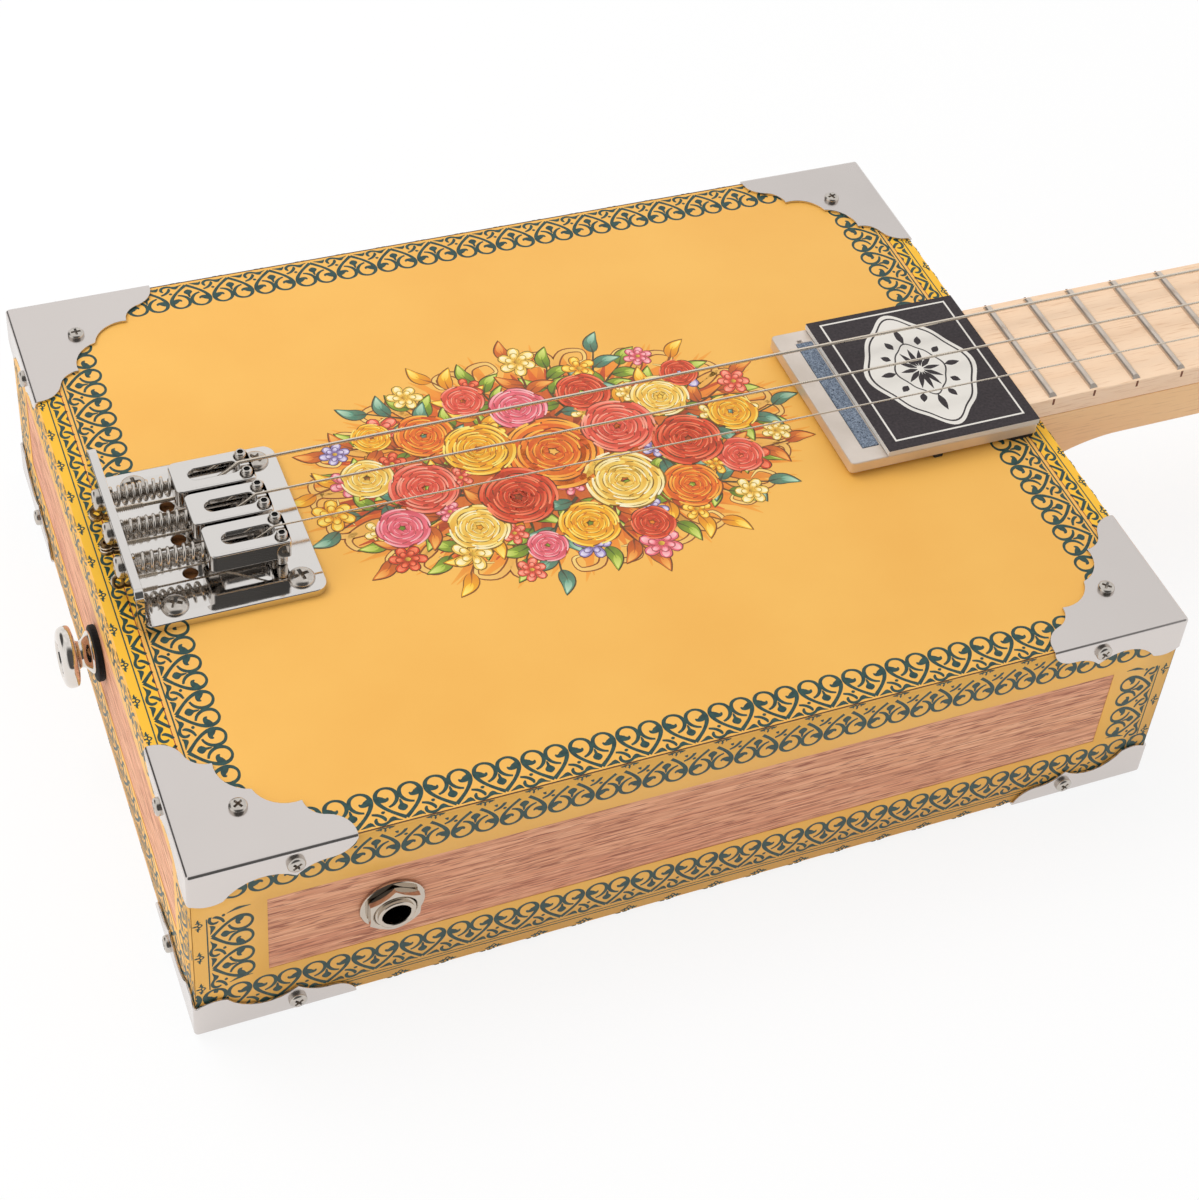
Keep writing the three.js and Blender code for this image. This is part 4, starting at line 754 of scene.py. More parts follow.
roses = ((0, 2, 12.5, FLAME), (-17, 8, 9, GOLD), (18, 6, 9.5, CORAL), (-13, -10, 9.5, ROSE),
         (13, -12, 10, CREAM), (-33, -1, 8.5, CORAL), (33, -3, 9, ROSE), (-3, 19, 7.5, PINK),
         (14, 20, 7, ROSE), (-28, 16, 7.5, FLAME), (32, 13, 7.5, CREAM), (-25, -17, 7.5, CREAM),
         (28, -18, 7.5, FLAME), (0, -23, 7.5, GOLD), (-45, 6, 6.5, CREAM), (47, 3, 6.5, GOLD),
         (-42, -12, 6.5, PINK), (43, -12, 6, CORAL), (-15, 25, 5.5, CORAL), (40, 20, 5, ROSE),
         (-40, 19, 5, GOLD), (-12, -27, 5, PINK), (14, -27, 5.5, ROSE))
for n, (x, y, size, inks) in enumerate(roses):
    level = 50 + 6 * (n % 4) + (34 if n < 7 else 0)
    strokes += rose(np.array((x, y)), size, inks, level, 0.9 * n, 4 + (n < 14) + (n < 7))
many_inks("middle_print", strokes, PRINT_MIDDLE)


# Corner brackets: eight corners pressed from thin sheet, cut to a scalloped line and chromed. Each
# is held by three small cross-head screws, one through its face and one through each flap.
def scalloped(start, runs, steps=9):
    """A line of arcs in shares of the leg. An arc's centre stands off the middle of its chord, to
    the right where it turns clockwise, by the root of radius squared less half chord squared."""
    at = np.array(start, float)
    line_points = [at[None]]
    for x, y, radius, clockwise in runs:
        end = np.array((x, y), float)
        chord = end - at
        long = np.hypot(*chord)
        side = (-1 if clockwise else 1) * np.array((-chord[1], chord[0])) / long
        centre = (at + end) / 2 + side * math.sqrt(max(radius**2 - long**2 / 4, 0))
        first = math.atan2(*(at - centre)[::-1])
        sweep = (math.atan2(*(end - centre)[::-1]) - first) % math.tau
        sweep -= math.tau if clockwise else 0
        turns = first + sweep * np.linspace(0, 1, steps)[1:]
        line_points.append(centre + radius * np.stack([np.cos(turns), np.sin(turns)], -1))
        at = end
    return np.vstack(line_points) * LEG


def ring_of(radius, height, sides=16):
    """A ring of points round the upright axis: a radius and a height for all of it, or for each."""
    turn = np.arange(sides) * math.tau / sides
    wide, level = np.broadcast_to(radius, sides), np.broadcast_to(height, sides)
    return np.stack([wide * np.cos(turn), wide * np.sin(turn), level], -1)


def turned(profile, sides=24, capped=True):
    """A profile of radius and height pairs carried round the upright axis."""
    return loft([ring_of(*pair, sides) for pair in profile], (capped, capped))


def in_metres(shape):
    """A shape drawn in millimetres, at its real size."""
    return shape[0] * MM, shape[1]


def placed(shape, face, at, spin=0.0):
    """A shape stood on its end the way a face of the box looks, at a place in millimetres."""
    points = np.asarray(shape[0], float)
    c, s = math.cos(spin), math.sin(spin)
    points = points @ np.array(((c, s, 0), (-s, c, 0), (0, 0, 1.0)))
    return in_metres((points @ np.array(FACES[face], float) + np.array(at), shape[1]))


def carved(shape, *cutters):
    """A shape with others cut out of it, worked out once as plain points and faces."""
    made = []
    for points, faces in (shape, *cutters):
        mesh = bpy.data.meshes.new("blank")
        mesh.from_pydata(points, [], faces)
        work = bmesh.new()
        work.from_mesh(mesh)
        bmesh.ops.remove_doubles(work, verts=work.verts, dist=1e-5)
        bmesh.ops.recalc_face_normals(work, faces=work.faces)
        work.to_mesh(mesh)
        work.free()
        blank = bpy.data.objects.new("blank", mesh)
        scene.collection.objects.link(blank)
        made.append(blank)
    for cutter in made[1:]:
        less = made[0].modifiers.new("cut", "BOOLEAN")
        less.object = cutter
        less.solver = "EXACT"
    result = made[0].evaluated_get(bpy.context.evaluated_depsgraph_get()).to_mesh()
    points = np.empty(len(result.vertices) * 3)
    result.vertices.foreach_get("co", points)
    faces = [list(face.vertices) for face in result.polygons]
    for blank in made:
        mesh = blank.data
        bpy.data.objects.remove(blank)
        bpy.data.meshes.remove(mesh)
    return points.reshape(-1, 3), faces


def box_shape(x, y, z):
    """A block between pairs of limits."""
    plan = [(x[0], y[0]), (x[1], y[0]), (x[1], y[1]), (x[0], y[1])]
    return loft([[(*p, height) for p in plan] for height in z])


# The profiles of a pan head and an oval head, in shares of the radius and the height.
PAN = ((0, 0), (1, 0), (1, 0.42), (0.96, 0.68), (0.84, 0.88), (0.6, 0.98), (0, 1))
OVAL = ((0, 0), (1, 0), (1, 0.16), (0.93, 0.5), (0.76, 0.8), (0.45, 0.96), (0, 1))


def cross_head(radius, height, shares=PAN):
    """A turned head with a cross recess, its arms tapering down into it."""
    arms = []
    for arm in ((0.62, 0.16), (0.16, 0.62)):
        plan = oblong(np.array(arm) * radius)
        arms.append(loft([np.column_stack([plan * share, np.full(4, level * height)])
                          for level, share in ((0.12, 0.4), (1.3, 1.15))]))
    return carved(turned([(radius * r, height * z) for r, z in shares]), *arms)


def plated(name, colour, rough=(0.06, 0.14), cloud=60, metallic=1.0):
    """Bright plate: even colour, with faint clouds in its gloss and a slight waviness."""
    finish = Finish(name, colour, metallic=metallic)
    clouds = finish.share(finish.grain(cloud, 3), 0.3, 0.7)
    finish.roughened(clouds, *rough)
    finish.raised(finish.grain(cloud * 2, 2, (0.7, 0.1, 0.4)), 0.02)
    return finish


corner_plate = plated("corner_chrome_plate", "D9D2CE", (0.16, 0.28))
screw_plate = plated("screw_nickel_plate", "C9C2BA", (0.14, 0.26), 300)
# A bracket's leg, sheet, fold and stand off the wall; where its screws are; and the lines it is cut
# to, each arc by its end, its radius and which way it turns.
LEG = 35.75
SHEET = 0.6
BEND = 0.9
STAND = 0.8
FACE_SCREW = 14.4
FLAP_SCREW = (22.4, 3.7)
face_line = scalloped((0, 0.993), ((0.199, 0.874, 0.176, 1), (0.344, 0.761, 0.146, 0),
                                   (0.509, 0.509, 0.222, 0), (0.761, 0.344, 0.222, 0),
                                   (0.874, 0.199, 0.146, 0), (0.993, 0, 0.176, 1)))
flap_line = scalloped((0, 0.246), ((0.204, 0.288, 0.18, 1), (0.632, 0.224, 0.288, 0),
                                   (0.839, 0.14, 0.264, 0), (1, 0, 0.167, 1)))


def bracket_skin():
    """The outer skin in its own corner: along one edge, along the other, and down. The flats are
    joined by quarter rounds, whose points lie one radius from the line inside each fold."""
    inside = lambda cut: cut[(cut[:, 0] > BEND) & (cut[:, 1] > BEND)][::-1]
    face_reach = np.interp(BEND, face_line[::-1, 1], face_line[::-1, 0])
    flap_reach = np.interp(BEND, flap_line[::-1, 1], flap_line[::-1, 0])
    flap_drop = np.interp(BEND, flap_line[:, 0], flap_line[:, 1])
    plan = np.vstack([[(BEND, BEND), (face_reach, BEND)], inside(face_line), [(BEND, face_reach)]])
    flap = np.vstack([[(BEND, BEND), (flap_reach, BEND)], inside(flap_line), [(BEND, flap_drop)]])
    none = np.zeros(len(flap))
    flats = [(points, [list(range(len(points)))]) for points in (
        np.column_stack([plan, np.zeros(len(plan))]),
        np.column_stack([flap[:, 0], none, flap[:, 1]]),
        np.column_stack([none, flap[:, 0], flap[:, 1]]))]
    turn = np.linspace(0, math.pi / 2, 6)
    low, over = BEND - BEND * np.sin(turn), BEND - BEND * np.cos(turn)
    reach = face_reach + (flap_reach - face_reach) * turn / turn[-1]
    start, drop = np.full(6, BEND), np.full(6, flap_drop)
    folds = [np.stack([np.stack(row, -1) for row in rows]) for rows in (
        ((start, low, over), (reach, low, over)),
        ((low, start, over), (low, reach, over)),
        ((over, low, start), (over, low, drop)))]
    down, across = np.meshgrid(turn, turn, indexing="ij")
    dome = BEND - BEND * np.stack([np.sin(down) * np.sin(across), np.sin(down) * np.cos(across),
                                   np.cos(down)], -1)
    return gathered(*flats, *[loft(run, (False, False), False) for run in (*folds, dome)])


small_head = cross_head(2.0, 1.2)
skin = bracket_skin()
box_outer = box_half[:2] + STAND
for level, height, sz in (("top", box_high[2] + STAND, 1), ("back", box_low[2] - STAND, -1)):
    for end, sx in (("tail", -1), ("neck", 1)):
        for flank, sy in (("jack", -1), ("far", 1)):
            name = f"corner_{level}_{end}_{flank}"

            def seat(points):
                """Places in this corner, from distances in along each of its three edges."""
                along, across, deep = np.moveaxis(np.asarray(points, float), -1, 0)
                return np.stack([sx * (box_outer[0] - along), sy * (box_outer[1] - across),
                                 height - sz * deep], -1)

            bracket = make(name + "_plate", in_metres((seat(skin[0]), skin[1])), corner_plate,
                           stands_for=[name], outward=BOX_INSIDE,
                           closed=False)
            eased(thickened(bracket, SHEET), 0.12, 2, 50)
            spots = (("lid" if sz > 0 else "back", (FACE_SCREW, FACE_SCREW, 0)),
                     ("jack_side" if sy < 0 else "far_side", (FLAP_SCREW[0], 0, FLAP_SCREW[1])),
                     ("tail" if sx < 0 else "neck_end", (0, FLAP_SCREW[0], FLAP_SCREW[1])))
            heads = [placed(small_head, face, seat(spot), 0.4 + 1.7 * n + 0.9 * sx + 0.5 * sy)
                     for n, (face, spot) in enumerate(spots)]
            make(name + "_screws", gathered(*heads), screw_plate,
                 stands_for=[name])


# Neck: one length of pale maple, shaped by hand. It runs as a tongue under the lid to a wide block
# at the tail, comes out through the end wall over an arched heel, and ends in a flat dropped head.
def bend_through(first, pull, last, steps=10):
    """Points on the curve that leaves one point towards a pull point and comes into the last: the
    first weighs (1-t) squared, the pull 2t(1-t), the last t squared."""
    t = np.linspace(0, 1, steps)[:, None]
    return (1 - t) ** 2 * np.array(first) + 2 * t * (1 - t) * np.array(pull) + t**2 * np.array(last)


def rounded_ring(half, low, high, low_round, high_round):
    """Twenty points round a cross-section: an upright oblong with its corners rounded."""
    ring = []
    for sy, z, r, start in ((1, low, low_round, -90), (1, high, high_round, 0),
                            (-1, high, high_round, 90), (-1, low, low_round, 180)):
        turn = np.radians(np.linspace(start, start + 90, 5))
        up = z + r if z == low else z - r
        ring.append(np.stack([sy * (half - r) + r * np.cos(turn), up + r * np.sin(turn)], -1))
    return np.vstack(ring)


def maple_finish(name, light, dark, coat):
    """Maple: long soft bands and a fine fleck, both running the length of the neck."""
    finish = Finish(name, roughness=0.5, coat=coat)
    finish.shader.inputs["Coat Roughness"].default_value = 0.25
    bands = finish.share(finish.grain((9, 110, 60), 4), 0.3, 0.75)
    fleck = finish.share(finish.grain((140, 2600, 2600), 2, (0.2, 0.3, 0.1)), 0.56, 0.86)
    body = finish.mixed(bands, tint(light), tint(dark))
    finish.coloured(finish.mixed(fleck, body, tint("DCAA7C")))
    finish.raised(fleck, -0.015)
    return finish


maple_neck = maple_finish("maple_neck_lacquer", "FFD49C", "FAC890", 0.15)
# Heights of the tongue, the heel, the shaft and the head, where they pass into each other, and the
# half widths of the block, the shaft and the head.
NECK_TIP = 10.0
TONGUE_LOW, TONGUE_TOP, TONGUE_END = 22.1, 50, 114.5
HEEL_LOW, SHAFT_LOW, SHAFT_TOP = 32.9, 41.1, 53.1
HEAD_LOW, HEAD_TOP, HEAD_START = 33.1, 47.1, 567.3
BLOCK_HALF, BLOCK_END, HEAD_HALF = 28, -62.1, 23
neck_low, neck_high = (np.array(corner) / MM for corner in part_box("neck"))
tail_x, tip_x = neck_low[0], neck_high[0]
under = np.vstack([[(tail_x, TONGUE_LOW)],
                   bend_through((93.7, TONGUE_LOW), (105.7, TONGUE_LOW), (109.7, HEEL_LOW)),
                   bend_through((116.5, HEEL_LOW), (129.35, SHAFT_LOW), (142.5, SHAFT_LOW), 14),
                   bend_through((524, SHAFT_LOW), (550, SHAFT_LOW), (563, HEAD_LOW), 12),
                   [(tip_x, HEAD_LOW)]])
over = np.vstack([[(tail_x, TONGUE_TOP), (TONGUE_END, TONGUE_TOP), (TONGUE_END + 0.001, SHAFT_TOP)],
                  bend_through((555.3, SHAFT_TOP), (559.3, HEAD_TOP), (HEAD_START, HEAD_TOP), 8),
                  [(tip_x, HEAD_TOP)]])
turn = np.radians(np.linspace(0, 90, 8))
tip = np.stack([tip_x - NECK_TIP + NECK_TIP * np.sin(turn),
                HEAD_HALF - NECK_TIP + NECK_TIP * np.cos(turn)], -1)
wide = np.vstack([[(tail_x, BLOCK_HALF), (BLOCK_END - 0.001, BLOCK_HALF), (BLOCK_END, NECK_HALF),
                   (HEAD_START, NECK_HALF), (591.3, HEAD_HALF)], tip])
rings = []
for x in np.unique(np.concatenate([under[:, 0], over[:, 0], wide[:, 0]])):
    low, high, half = (np.interp(x, *run.T) for run in (under, over, wide))
    ring = rounded_ring(half, low, high, 1.1, 0.2 if x < 560 else 1.0)
    rings.append(np.column_stack([np.full(len(ring), x), ring]) * MM)
make("neck_wood", loft(rings), maple_neck, stands_for=["neck"], sharp=32)


# Fingerboard: a flat strip of maple glued to the neck, drawn paler than the neck as painted light
# on its upward face, with twenty frets of dull steel wire hammered into saw cuts, dressed flat and
# bevelled at their ends. The cuts show at its sides.
def drawn_steel(name, colour, roughness, scale, rough, detail=3, metallic=1.0):
    """Plain steel whose gloss varies in fine specks or streaks."""
    finish = Finish(name, colour, roughness, metallic)
    finish.roughened(finish.share(finish.grain(scale, detail), 0.3, 0.7), *rough)
    return finish


# The frets' crown and reach, the saw cuts, the board's side, and the nut and scale length that
# place each fret.
FRETS = 20
FRET_HEIGHT = 1.05
FRET_HALF = 1.1
FRET_REACH = 18
CUT_HALF = 0.28
CUT_DEPTH = 1.9
BOARD_SIDE = 18.72
NUT_X = 550.0
SCALE = 628.65
board_low, board_high = (np.array(corner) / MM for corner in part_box("fingerboard"))
BOARD_TOP = board_high[2] - FRET_HEIGHT
# A lighter copy of the neck's maple for the board's top: painted light where the face looks up.
maple_lit_top_board = maple_finish("lit_top_maple_lacquer", "FFE0C0", "FAD2AC", 0.2)
fret_steel = drawn_steel("fret_steel", "D6CABE", 0.3, (400, 60, 400), (0.26, 0.42), metallic=0.9)
cut_dark = Finish("saw_cut_glue", "7C4A32", roughness=0.7)
strip = box_shape((board_low[0], board_high[0]), (board_low[1], board_high[1]),
                  (board_low[2], BOARD_TOP))
board = make("fingerboard_wood", strip, maple_lit_top_board, stands_for=["fingerboard"])
board.data.transform(Matrix.Scale(MM, 4))
eased(board, 0.35, 3)
turn = np.linspace(0, math.pi, 9)
crown = np.stack([-FRET_HALF * np.cos(turn), FRET_HEIGHT * np.sin(turn)], -1)
crown = np.vstack([crown, [(FRET_HALF * 0.9, -0.2), (-FRET_HALF * 0.9, -0.2)]])
end_slope = FRET_REACH - 0.75 * np.maximum(crown[:, 1], 0)
frets, cuts = [], []
for x in NUT_X - SCALE * (1 - 2 ** (-np.arange(1, FRETS + 1) / 12)):
    ends = [np.column_stack([x + crown[:, 0], side * end_slope, BOARD_TOP + crown[:, 1]])
            for side in (-1, 1)]
    frets.append(loft(np.array(ends) * MM))
    for side in (-1, 1):
        y = side * BOARD_SIDE
        cuts.append(in_metres(box_shape((x - CUT_HALF, x + CUT_HALF), (y - 0.05, y + 0.05),
                                        (BOARD_TOP - CUT_DEPTH, BOARD_TOP - 0.05))))
make("fret_wires", gathered(*frets), fret_steel, stands_for=["fingerboard"], sharp=50)
make("fret_saw_cuts", gathered(*cuts), cut_dark, stands_for=["fingerboard"])


# Nut: a pale bone-like bar let in at the end of the board, polished, with a round groove for each
# string. The part's own solid has that shape.
nut_bone = Finish("polished_bone", "EFEADB", roughness=0.3)
nut_bone.shader.inputs["Subsurface Weight"].default_value = 0.1
nut_bone.shader.inputs["Subsurface Scale"].default_value = 0.002
dressed(["nut"], nut_bone)


# Bridge plate: a steel plate with its tail end bent up, chromed to a mirror. Three holes let the
# strings through to the back on other guitars, and show the box's wood here, darkened as painted
# shade.

# The strings' places and radii; the flange, and the heights of the strings and screws through it;
# the plate with its bends and rounded corners; and its holes.
STRING_Y = np.array((10.85, 0.0, -10.85))
STRING_R = (0.53, 0.4, 0.28)
FLANGE_X = -110.9
FLANGE_TOP = 66.1
FLANGE_Z = 57.4
SCREW_Z = 61.7
PLATE_FRONT = -68.1
PLATE_LOW, PLATE_TOP = 53.2, 55.2
PLATE_HALF = 24.2
INNER_BEND, OUTER_BEND = 1.9, 3.9
FRONT_ROUND, TOP_ROUND = 3.0, 2.2
THROUGH_X, THROUGH_R = FLANGE_X + 14.9, 1.7
MOUNT_X, MOUNT_Y, MOUNT_R = (FLANGE_X + 9.3, FLANGE_X + 37.7), 19.5, 1.8
bridge_plate = plated("bridge_mirror_chrome", "DEDAD6", (0.03, 0.1), 90)


def plate_ring(y):
    """The bent section at a place across the plate. Its front and its top draw back near the
    sides, by a corner radius less the root of that radius squared less the overrun squared."""
    draw = lambda r: r - math.sqrt(max(r * r - max(abs(y) - PLATE_HALF + r, 0) ** 2, 0))
    bend = lambda x, z, r, turn: np.stack([x + r + r * np.cos(turn), z + r + r * np.sin(turn)], -1)
    front, top = PLATE_FRONT - draw(FRONT_ROUND), FLANGE_TOP - draw(TOP_ROUND)
    up = FLANGE_X + PLATE_TOP - PLATE_LOW
    section = np.vstack([
        [(front, PLATE_LOW), (front, PLATE_TOP)],
        bend(up, PLATE_TOP, INNER_BEND, np.radians(np.linspace(270, 180, 7))),
        [(up, top), (FLANGE_X, top)],
        bend(FLANGE_X, PLATE_LOW, OUTER_BEND, np.radians(np.linspace(180, 270, 9)))])
    return np.insert(section, 1, y, axis=1)


def drill(radius, face, at, deep=8.0, sides=24):
    """A round cutter about a place, that goes the way a face looks."""
    points, faces = placed(turned([(0, -deep / 2), (radius, -deep / 2), (radius, deep / 2),
                                   (0, deep / 2)], sides), face, at)
    return points / MM, faces


def softened(piece, width, steps=2):
    """Rounds the sharp edges of a carved piece by a width that its small faces may not have."""
    bevel = piece.modifiers.new("eased_edges", "BEVEL")
    bevel.width, bevel.segments, bevel.angle_limit = width * MM, steps, math.radians(50)
    bevel.use_clamp_overlap = False


edge = PLATE_HALF - FRONT_ROUND * (1 - np.sin(np.linspace(0, math.pi / 2, 9)))
rows = np.unique(np.round(np.concatenate([-edge, edge]), 5))
rows[0], rows[-1] = -PLATE_HALF, PLATE_HALF
holes = [drill(THROUGH_R, "lid", (THROUGH_X, y, 54)) for y in STRING_Y]
holes += [drill(1.55, "tail", (FLANGE_X + 1, y, SCREW_Z)) for y in STRING_Y]
holes += [drill(r + 0.3, "tail", (FLANGE_X + 1, y, FLANGE_Z), sides=16)
          for y, r in zip(STRING_Y, STRING_R)]
holes += [drill(1.75, "tail", (FLANGE_X, y, FLANGE_Z), 1.7, 20) for y in STRING_Y]
holes += [drill(MOUNT_R, "lid", (x, y, 54)) for x in MOUNT_X for y in (-MOUNT_Y, MOUNT_Y)]
shape = carved(loft([plate_ring(y) for y in rows]), *holes)
plate = make("bridge_plate_chrome", in_metres(shape), bridge_plate,
             stands_for=["bridge_plate"], sharp=40)
softened(plate, 0.14)
# In each hole a dark brown disc: the wood's colour, darkened as painted shade for the depth of the
# bore.
disc = turned([(0, 0), (THROUGH_R - 0.04, 0), (THROUGH_R - 0.04, 0.1), (0, 0.1)], 20)
bore_shade_discs = [placed(disc, "lid", (THROUGH_X, y, box_high[2] + PAPER)) for y in STRING_Y]
make("bore_wood_and_painted_shade", gathered(*bore_shade_discs), Finish("bore_wood_in_painted_shade", "8A5A30", roughness=0.8))


# Plate screws: four cross-head wood screws with oval heads, nickelled. They go down through the lid
# into the neck's block.
plate_head = cross_head(3.1, 1.35, OVAL)
plate_shank = turned([(0, -15.8), (1.4, -14), (1.4, 0.2), (0, 0.2)], 16)
for n, (x, y) in enumerate([(x, y) for x in MOUNT_X for y in (MOUNT_Y, -MOUNT_Y)], 1):
    at = (x, y, PLATE_TOP + 0.02)
    screw = gathered(placed(plate_head, "lid", at, 0.5 + 1.1 * n), placed(plate_shank, "lid", at))
    make(f"plate_screw_{n}", screw, screw_plate,
         stands_for=[f"bridge_screw_{n}"])


# Saddles: three cast shoes, chromed, hollow below and slotted on top for the string. Each slides on
# the plate, pulled by its own screw at the tail, and stands on two set screws at its front.
def rounded_plan(x, y, rear, front, steps=6):
    """A plan view oblong with its rear corners rounded by one radius and its front by another."""
    plan = []
    for cx, cy, r, start in ((x[1], y[1], front, 0), (x[0], y[1], rear, 90),
                             (x[0], y[0], rear, 180), (x[1], y[0], front, 270)):
        turn = np.radians(np.linspace(start, start + 90, steps))
        hub_x = cx + np.sign(x[0] + x[1] - 2 * cx) * r
        hub_y = cy + np.sign(y[0] + y[1] - 2 * cy) * r
        plan.append(np.stack([hub_x + r * np.cos(turn), hub_y + r * np.sin(turn)], -1))
    return np.vstack(plan)


def raised_plan(plan, levels):
    """A plan carried straight up between two heights."""
    return loft([np.column_stack([plan, np.full(len(plan), z)]) for z in levels])


def threaded(radius, depth, pitch, low, high, sides=16):
    """A screw thread: the radius falls and rises once each pitch, and its low point climbs by one
    pitch a turn. Rows are a sixth of a pitch apart."""
    rows = np.arange(low, high + 1e-6, pitch / 6)
    turn = np.arange(sides) * math.tau / sides
    wave = np.abs(((rows[:, None] / pitch - turn / math.tau) % 1) * 2 - 1)
    return [ring_of(radius - depth * (1 - share), z, sides) for share, z in zip(wave, rows)]


def hexagon(flats, sides, spin=0.0):
    """The radius of a hexagon at even turns: half its flats over the cosine of the turn from the
    nearest flat."""
    turn = np.arange(sides) * math.tau / sides + spin
    return flats / 2 / np.cos(turn % (math.pi / 3) - math.pi / 6)


# A saddle's rear end, top, depth, length and half width; where it is hollow and slotted; and where
# its set screws stand, measured from its rear end and its string.
SADDLE_REAR = np.array((-94.7, -93.65, -92.6))
SADDLE_TOP = 63.7
SADDLE_DEPTH = 5
SADDLE_LENGTH = 18.4
SADDLE_HALF = 5
REAR_BLOCK, HOLLOW_END = 3.4, 14.6
SLOT_START, SLOT_END, SLOT_HALF = 3.8, 15.6, 1.8
SET_X, SET_Y = 16.6, 2.9
THREAD_PITCH = 0.5
SOCKET_FLATS = 1.6 * math.cos(math.pi / 6)
set_steel = drawn_steel("set_screw_nickel", "CFC9C2", 0.2, 500, (0.12, 0.26))
# Near-black for the floor of each hexagon socket: painted shade, so the socket looks deep and dark.
socket_painted_shade = Finish("painted_socket_shade", "0C0B0A", roughness=0.7)
for k in range(3):
    rear, y, name = SADDLE_REAR[k], STRING_Y[k], k + 1
    low = SADDLE_TOP - SADDLE_DEPTH
    shoe = rounded_plan((rear, rear + SADDLE_LENGTH), (y - SADDLE_HALF, y + SADDLE_HALF), 1.7, 0.7)
    hollow = box_shape((rear + REAR_BLOCK, rear + HOLLOW_END), (y - 3.8, y + 3.8),
                       (low - 2, SADDLE_TOP - 1.5))
    slot = rounded_plan((rear + SLOT_START, rear + SLOT_END), (y - SLOT_HALF, y + SLOT_HALF),
                        SLOT_HALF - 0.001, SLOT_HALF - 0.001, 7)
    taps = [drill(1.5, "lid", (rear + SET_X, y + s, SADDLE_TOP - 2), 12) for s in (-SET_Y, SET_Y)]
    bore = drill(1.55, "tail", (rear + 1, y, SCREW_Z), 9)
    shape = carved(raised_plan(shoe, (low, SADDLE_TOP)), hollow,
                   raised_plan(slot, (low + 1, SADDLE_TOP + 1)), bore, *taps)
    softened(make(f"saddle_shoe_{name}", in_metres(shape), bridge_plate, f"saddle_{name}",
                  [f"saddle_{name}"], 32), 0.3, 3)

    # Its two set screws: plain threaded steel, domed at the rim, with a hexagon socket.
    foot, head = PLATE_TOP + 0.3, SADDLE_TOP + 1.35
    socket = hexagon(SOCKET_FLATS, 16, 0.3)
    thread = threaded(1.3, 0.16, THREAD_PITCH, foot + 0.3, head - 0.35)
    rim = [(1.24, head - 0.28), (1.08, head - 0.07), (0.98, head), (socket, head),
           (socket, head - 1.6), (0, head - 1.7)]
    screw = loft([ring_of(0, foot), ring_of(1.0, foot), *thread, *[ring_of(*pair) for pair in rim]])
    # A near-black disc down in each socket, as painted shade.
    socket_shade_disc = turned([(0, head - 0.55), (0.79, head - 0.55), (0.79, head - 0.45),
                         (0, head - 0.45)], 12)
    for side, s in (("a", SET_Y), ("b", -SET_Y)):
        node, at = f"height_screw_{name}{side}", (rear + SET_X, y + s, 0)
        make(f"saddle_{node}", placed(screw, "lid", at), set_steel, node, [node], 40)
        make(f"height_screw_socket_{name}{side}", placed(socket_shade_disc, "lid", at), socket_painted_shade, node,
             [node])

    # Its intonation screw, from outside the flange.
    start = FLANGE_X - 0.05
    reach = rear + 4.4 - start
    thread = threaded(1.25, 0.17, THREAD_PITCH, 0.4, reach - 0.6)
    shank = placed(loft([ring_of(0, -0.3), *thread, ring_of(0, reach)]), "neck_end",
                   (start, y, SCREW_Z))
    head = placed(cross_head(2.6, 1.6), "tail", (start, y, SCREW_Z), 0.7 + 0.8 * k)
    make(f"pull_screw_{name}", gathered(shank, head), screw_plate, f"intonation_screw_{name}",
         [f"intonation_screw_{name}"], 40)


# Saddle springs: closed coils of plain steel wire over each screw, between flange and saddle.
def wire(path, radius, across, sides=10):
    """A round section carried along a path. Each ring stands square to the path: its first
    direction is square to the path and to the axis given, its second to the path and the first."""
    path = np.asarray(path, float)
    slope = np.gradient(path, axis=0)
    slope /= np.linalg.norm(slope, axis=1)[:, None]
    first = np.cross(slope, across)
    first /= np.linalg.norm(first, axis=1)[:, None]
    second = np.cross(slope, first)
    turn = (np.arange(sides) * math.tau / sides)[None, :, None]
    around = np.cos(turn) * first[:, None] + np.sin(turn) * second[:, None]
    return loft(path[:, None] + radius * around)


SPRING_TURNS = 8
SPRING_STEPS = 22
SPRING_WIRE = 0.4
SPRING_RADIUS = 2.45 - 0.375
spring_steel = Finish("spring_wire", "CFC8C0", roughness=0.16, metallic=1.0)
for k in range(3):
    start, end = FLANGE_X + 2.1, SADDLE_REAR[k] - 0.1
    along = np.linspace(0, 1, SPRING_TURNS * SPRING_STEPS + 1)
    pace = along + 0.018 * np.sin(along * math.tau)
    turn = along * math.tau * SPRING_TURNS
    coil = np.stack([start + SPRING_WIRE + (end - start - 2 * SPRING_WIRE) * pace,
                     STRING_Y[k] + SPRING_RADIUS * np.sin(turn),
                     SCREW_Z + SPRING_RADIUS * np.cos(turn)], -1)
    spring = make(f"spring_{k + 1}", wire(coil * MM, SPRING_WIRE * MM, (1, 0, 0), 8), spring_steel,
                  None, stands_for=[f"saddle_spring_{k + 1}"], sharp=60)
    ends = np.array([(x, STRING_Y[k], SCREW_Z) for x in (start + 0.6, end - 0.4)]) * MM
    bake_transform(spring)


# Strings: three lengths of steel, the two thick ones wound. Each starts at a brass ball outside the
# flange, is twisted on itself past it, and ends in turns round its post.

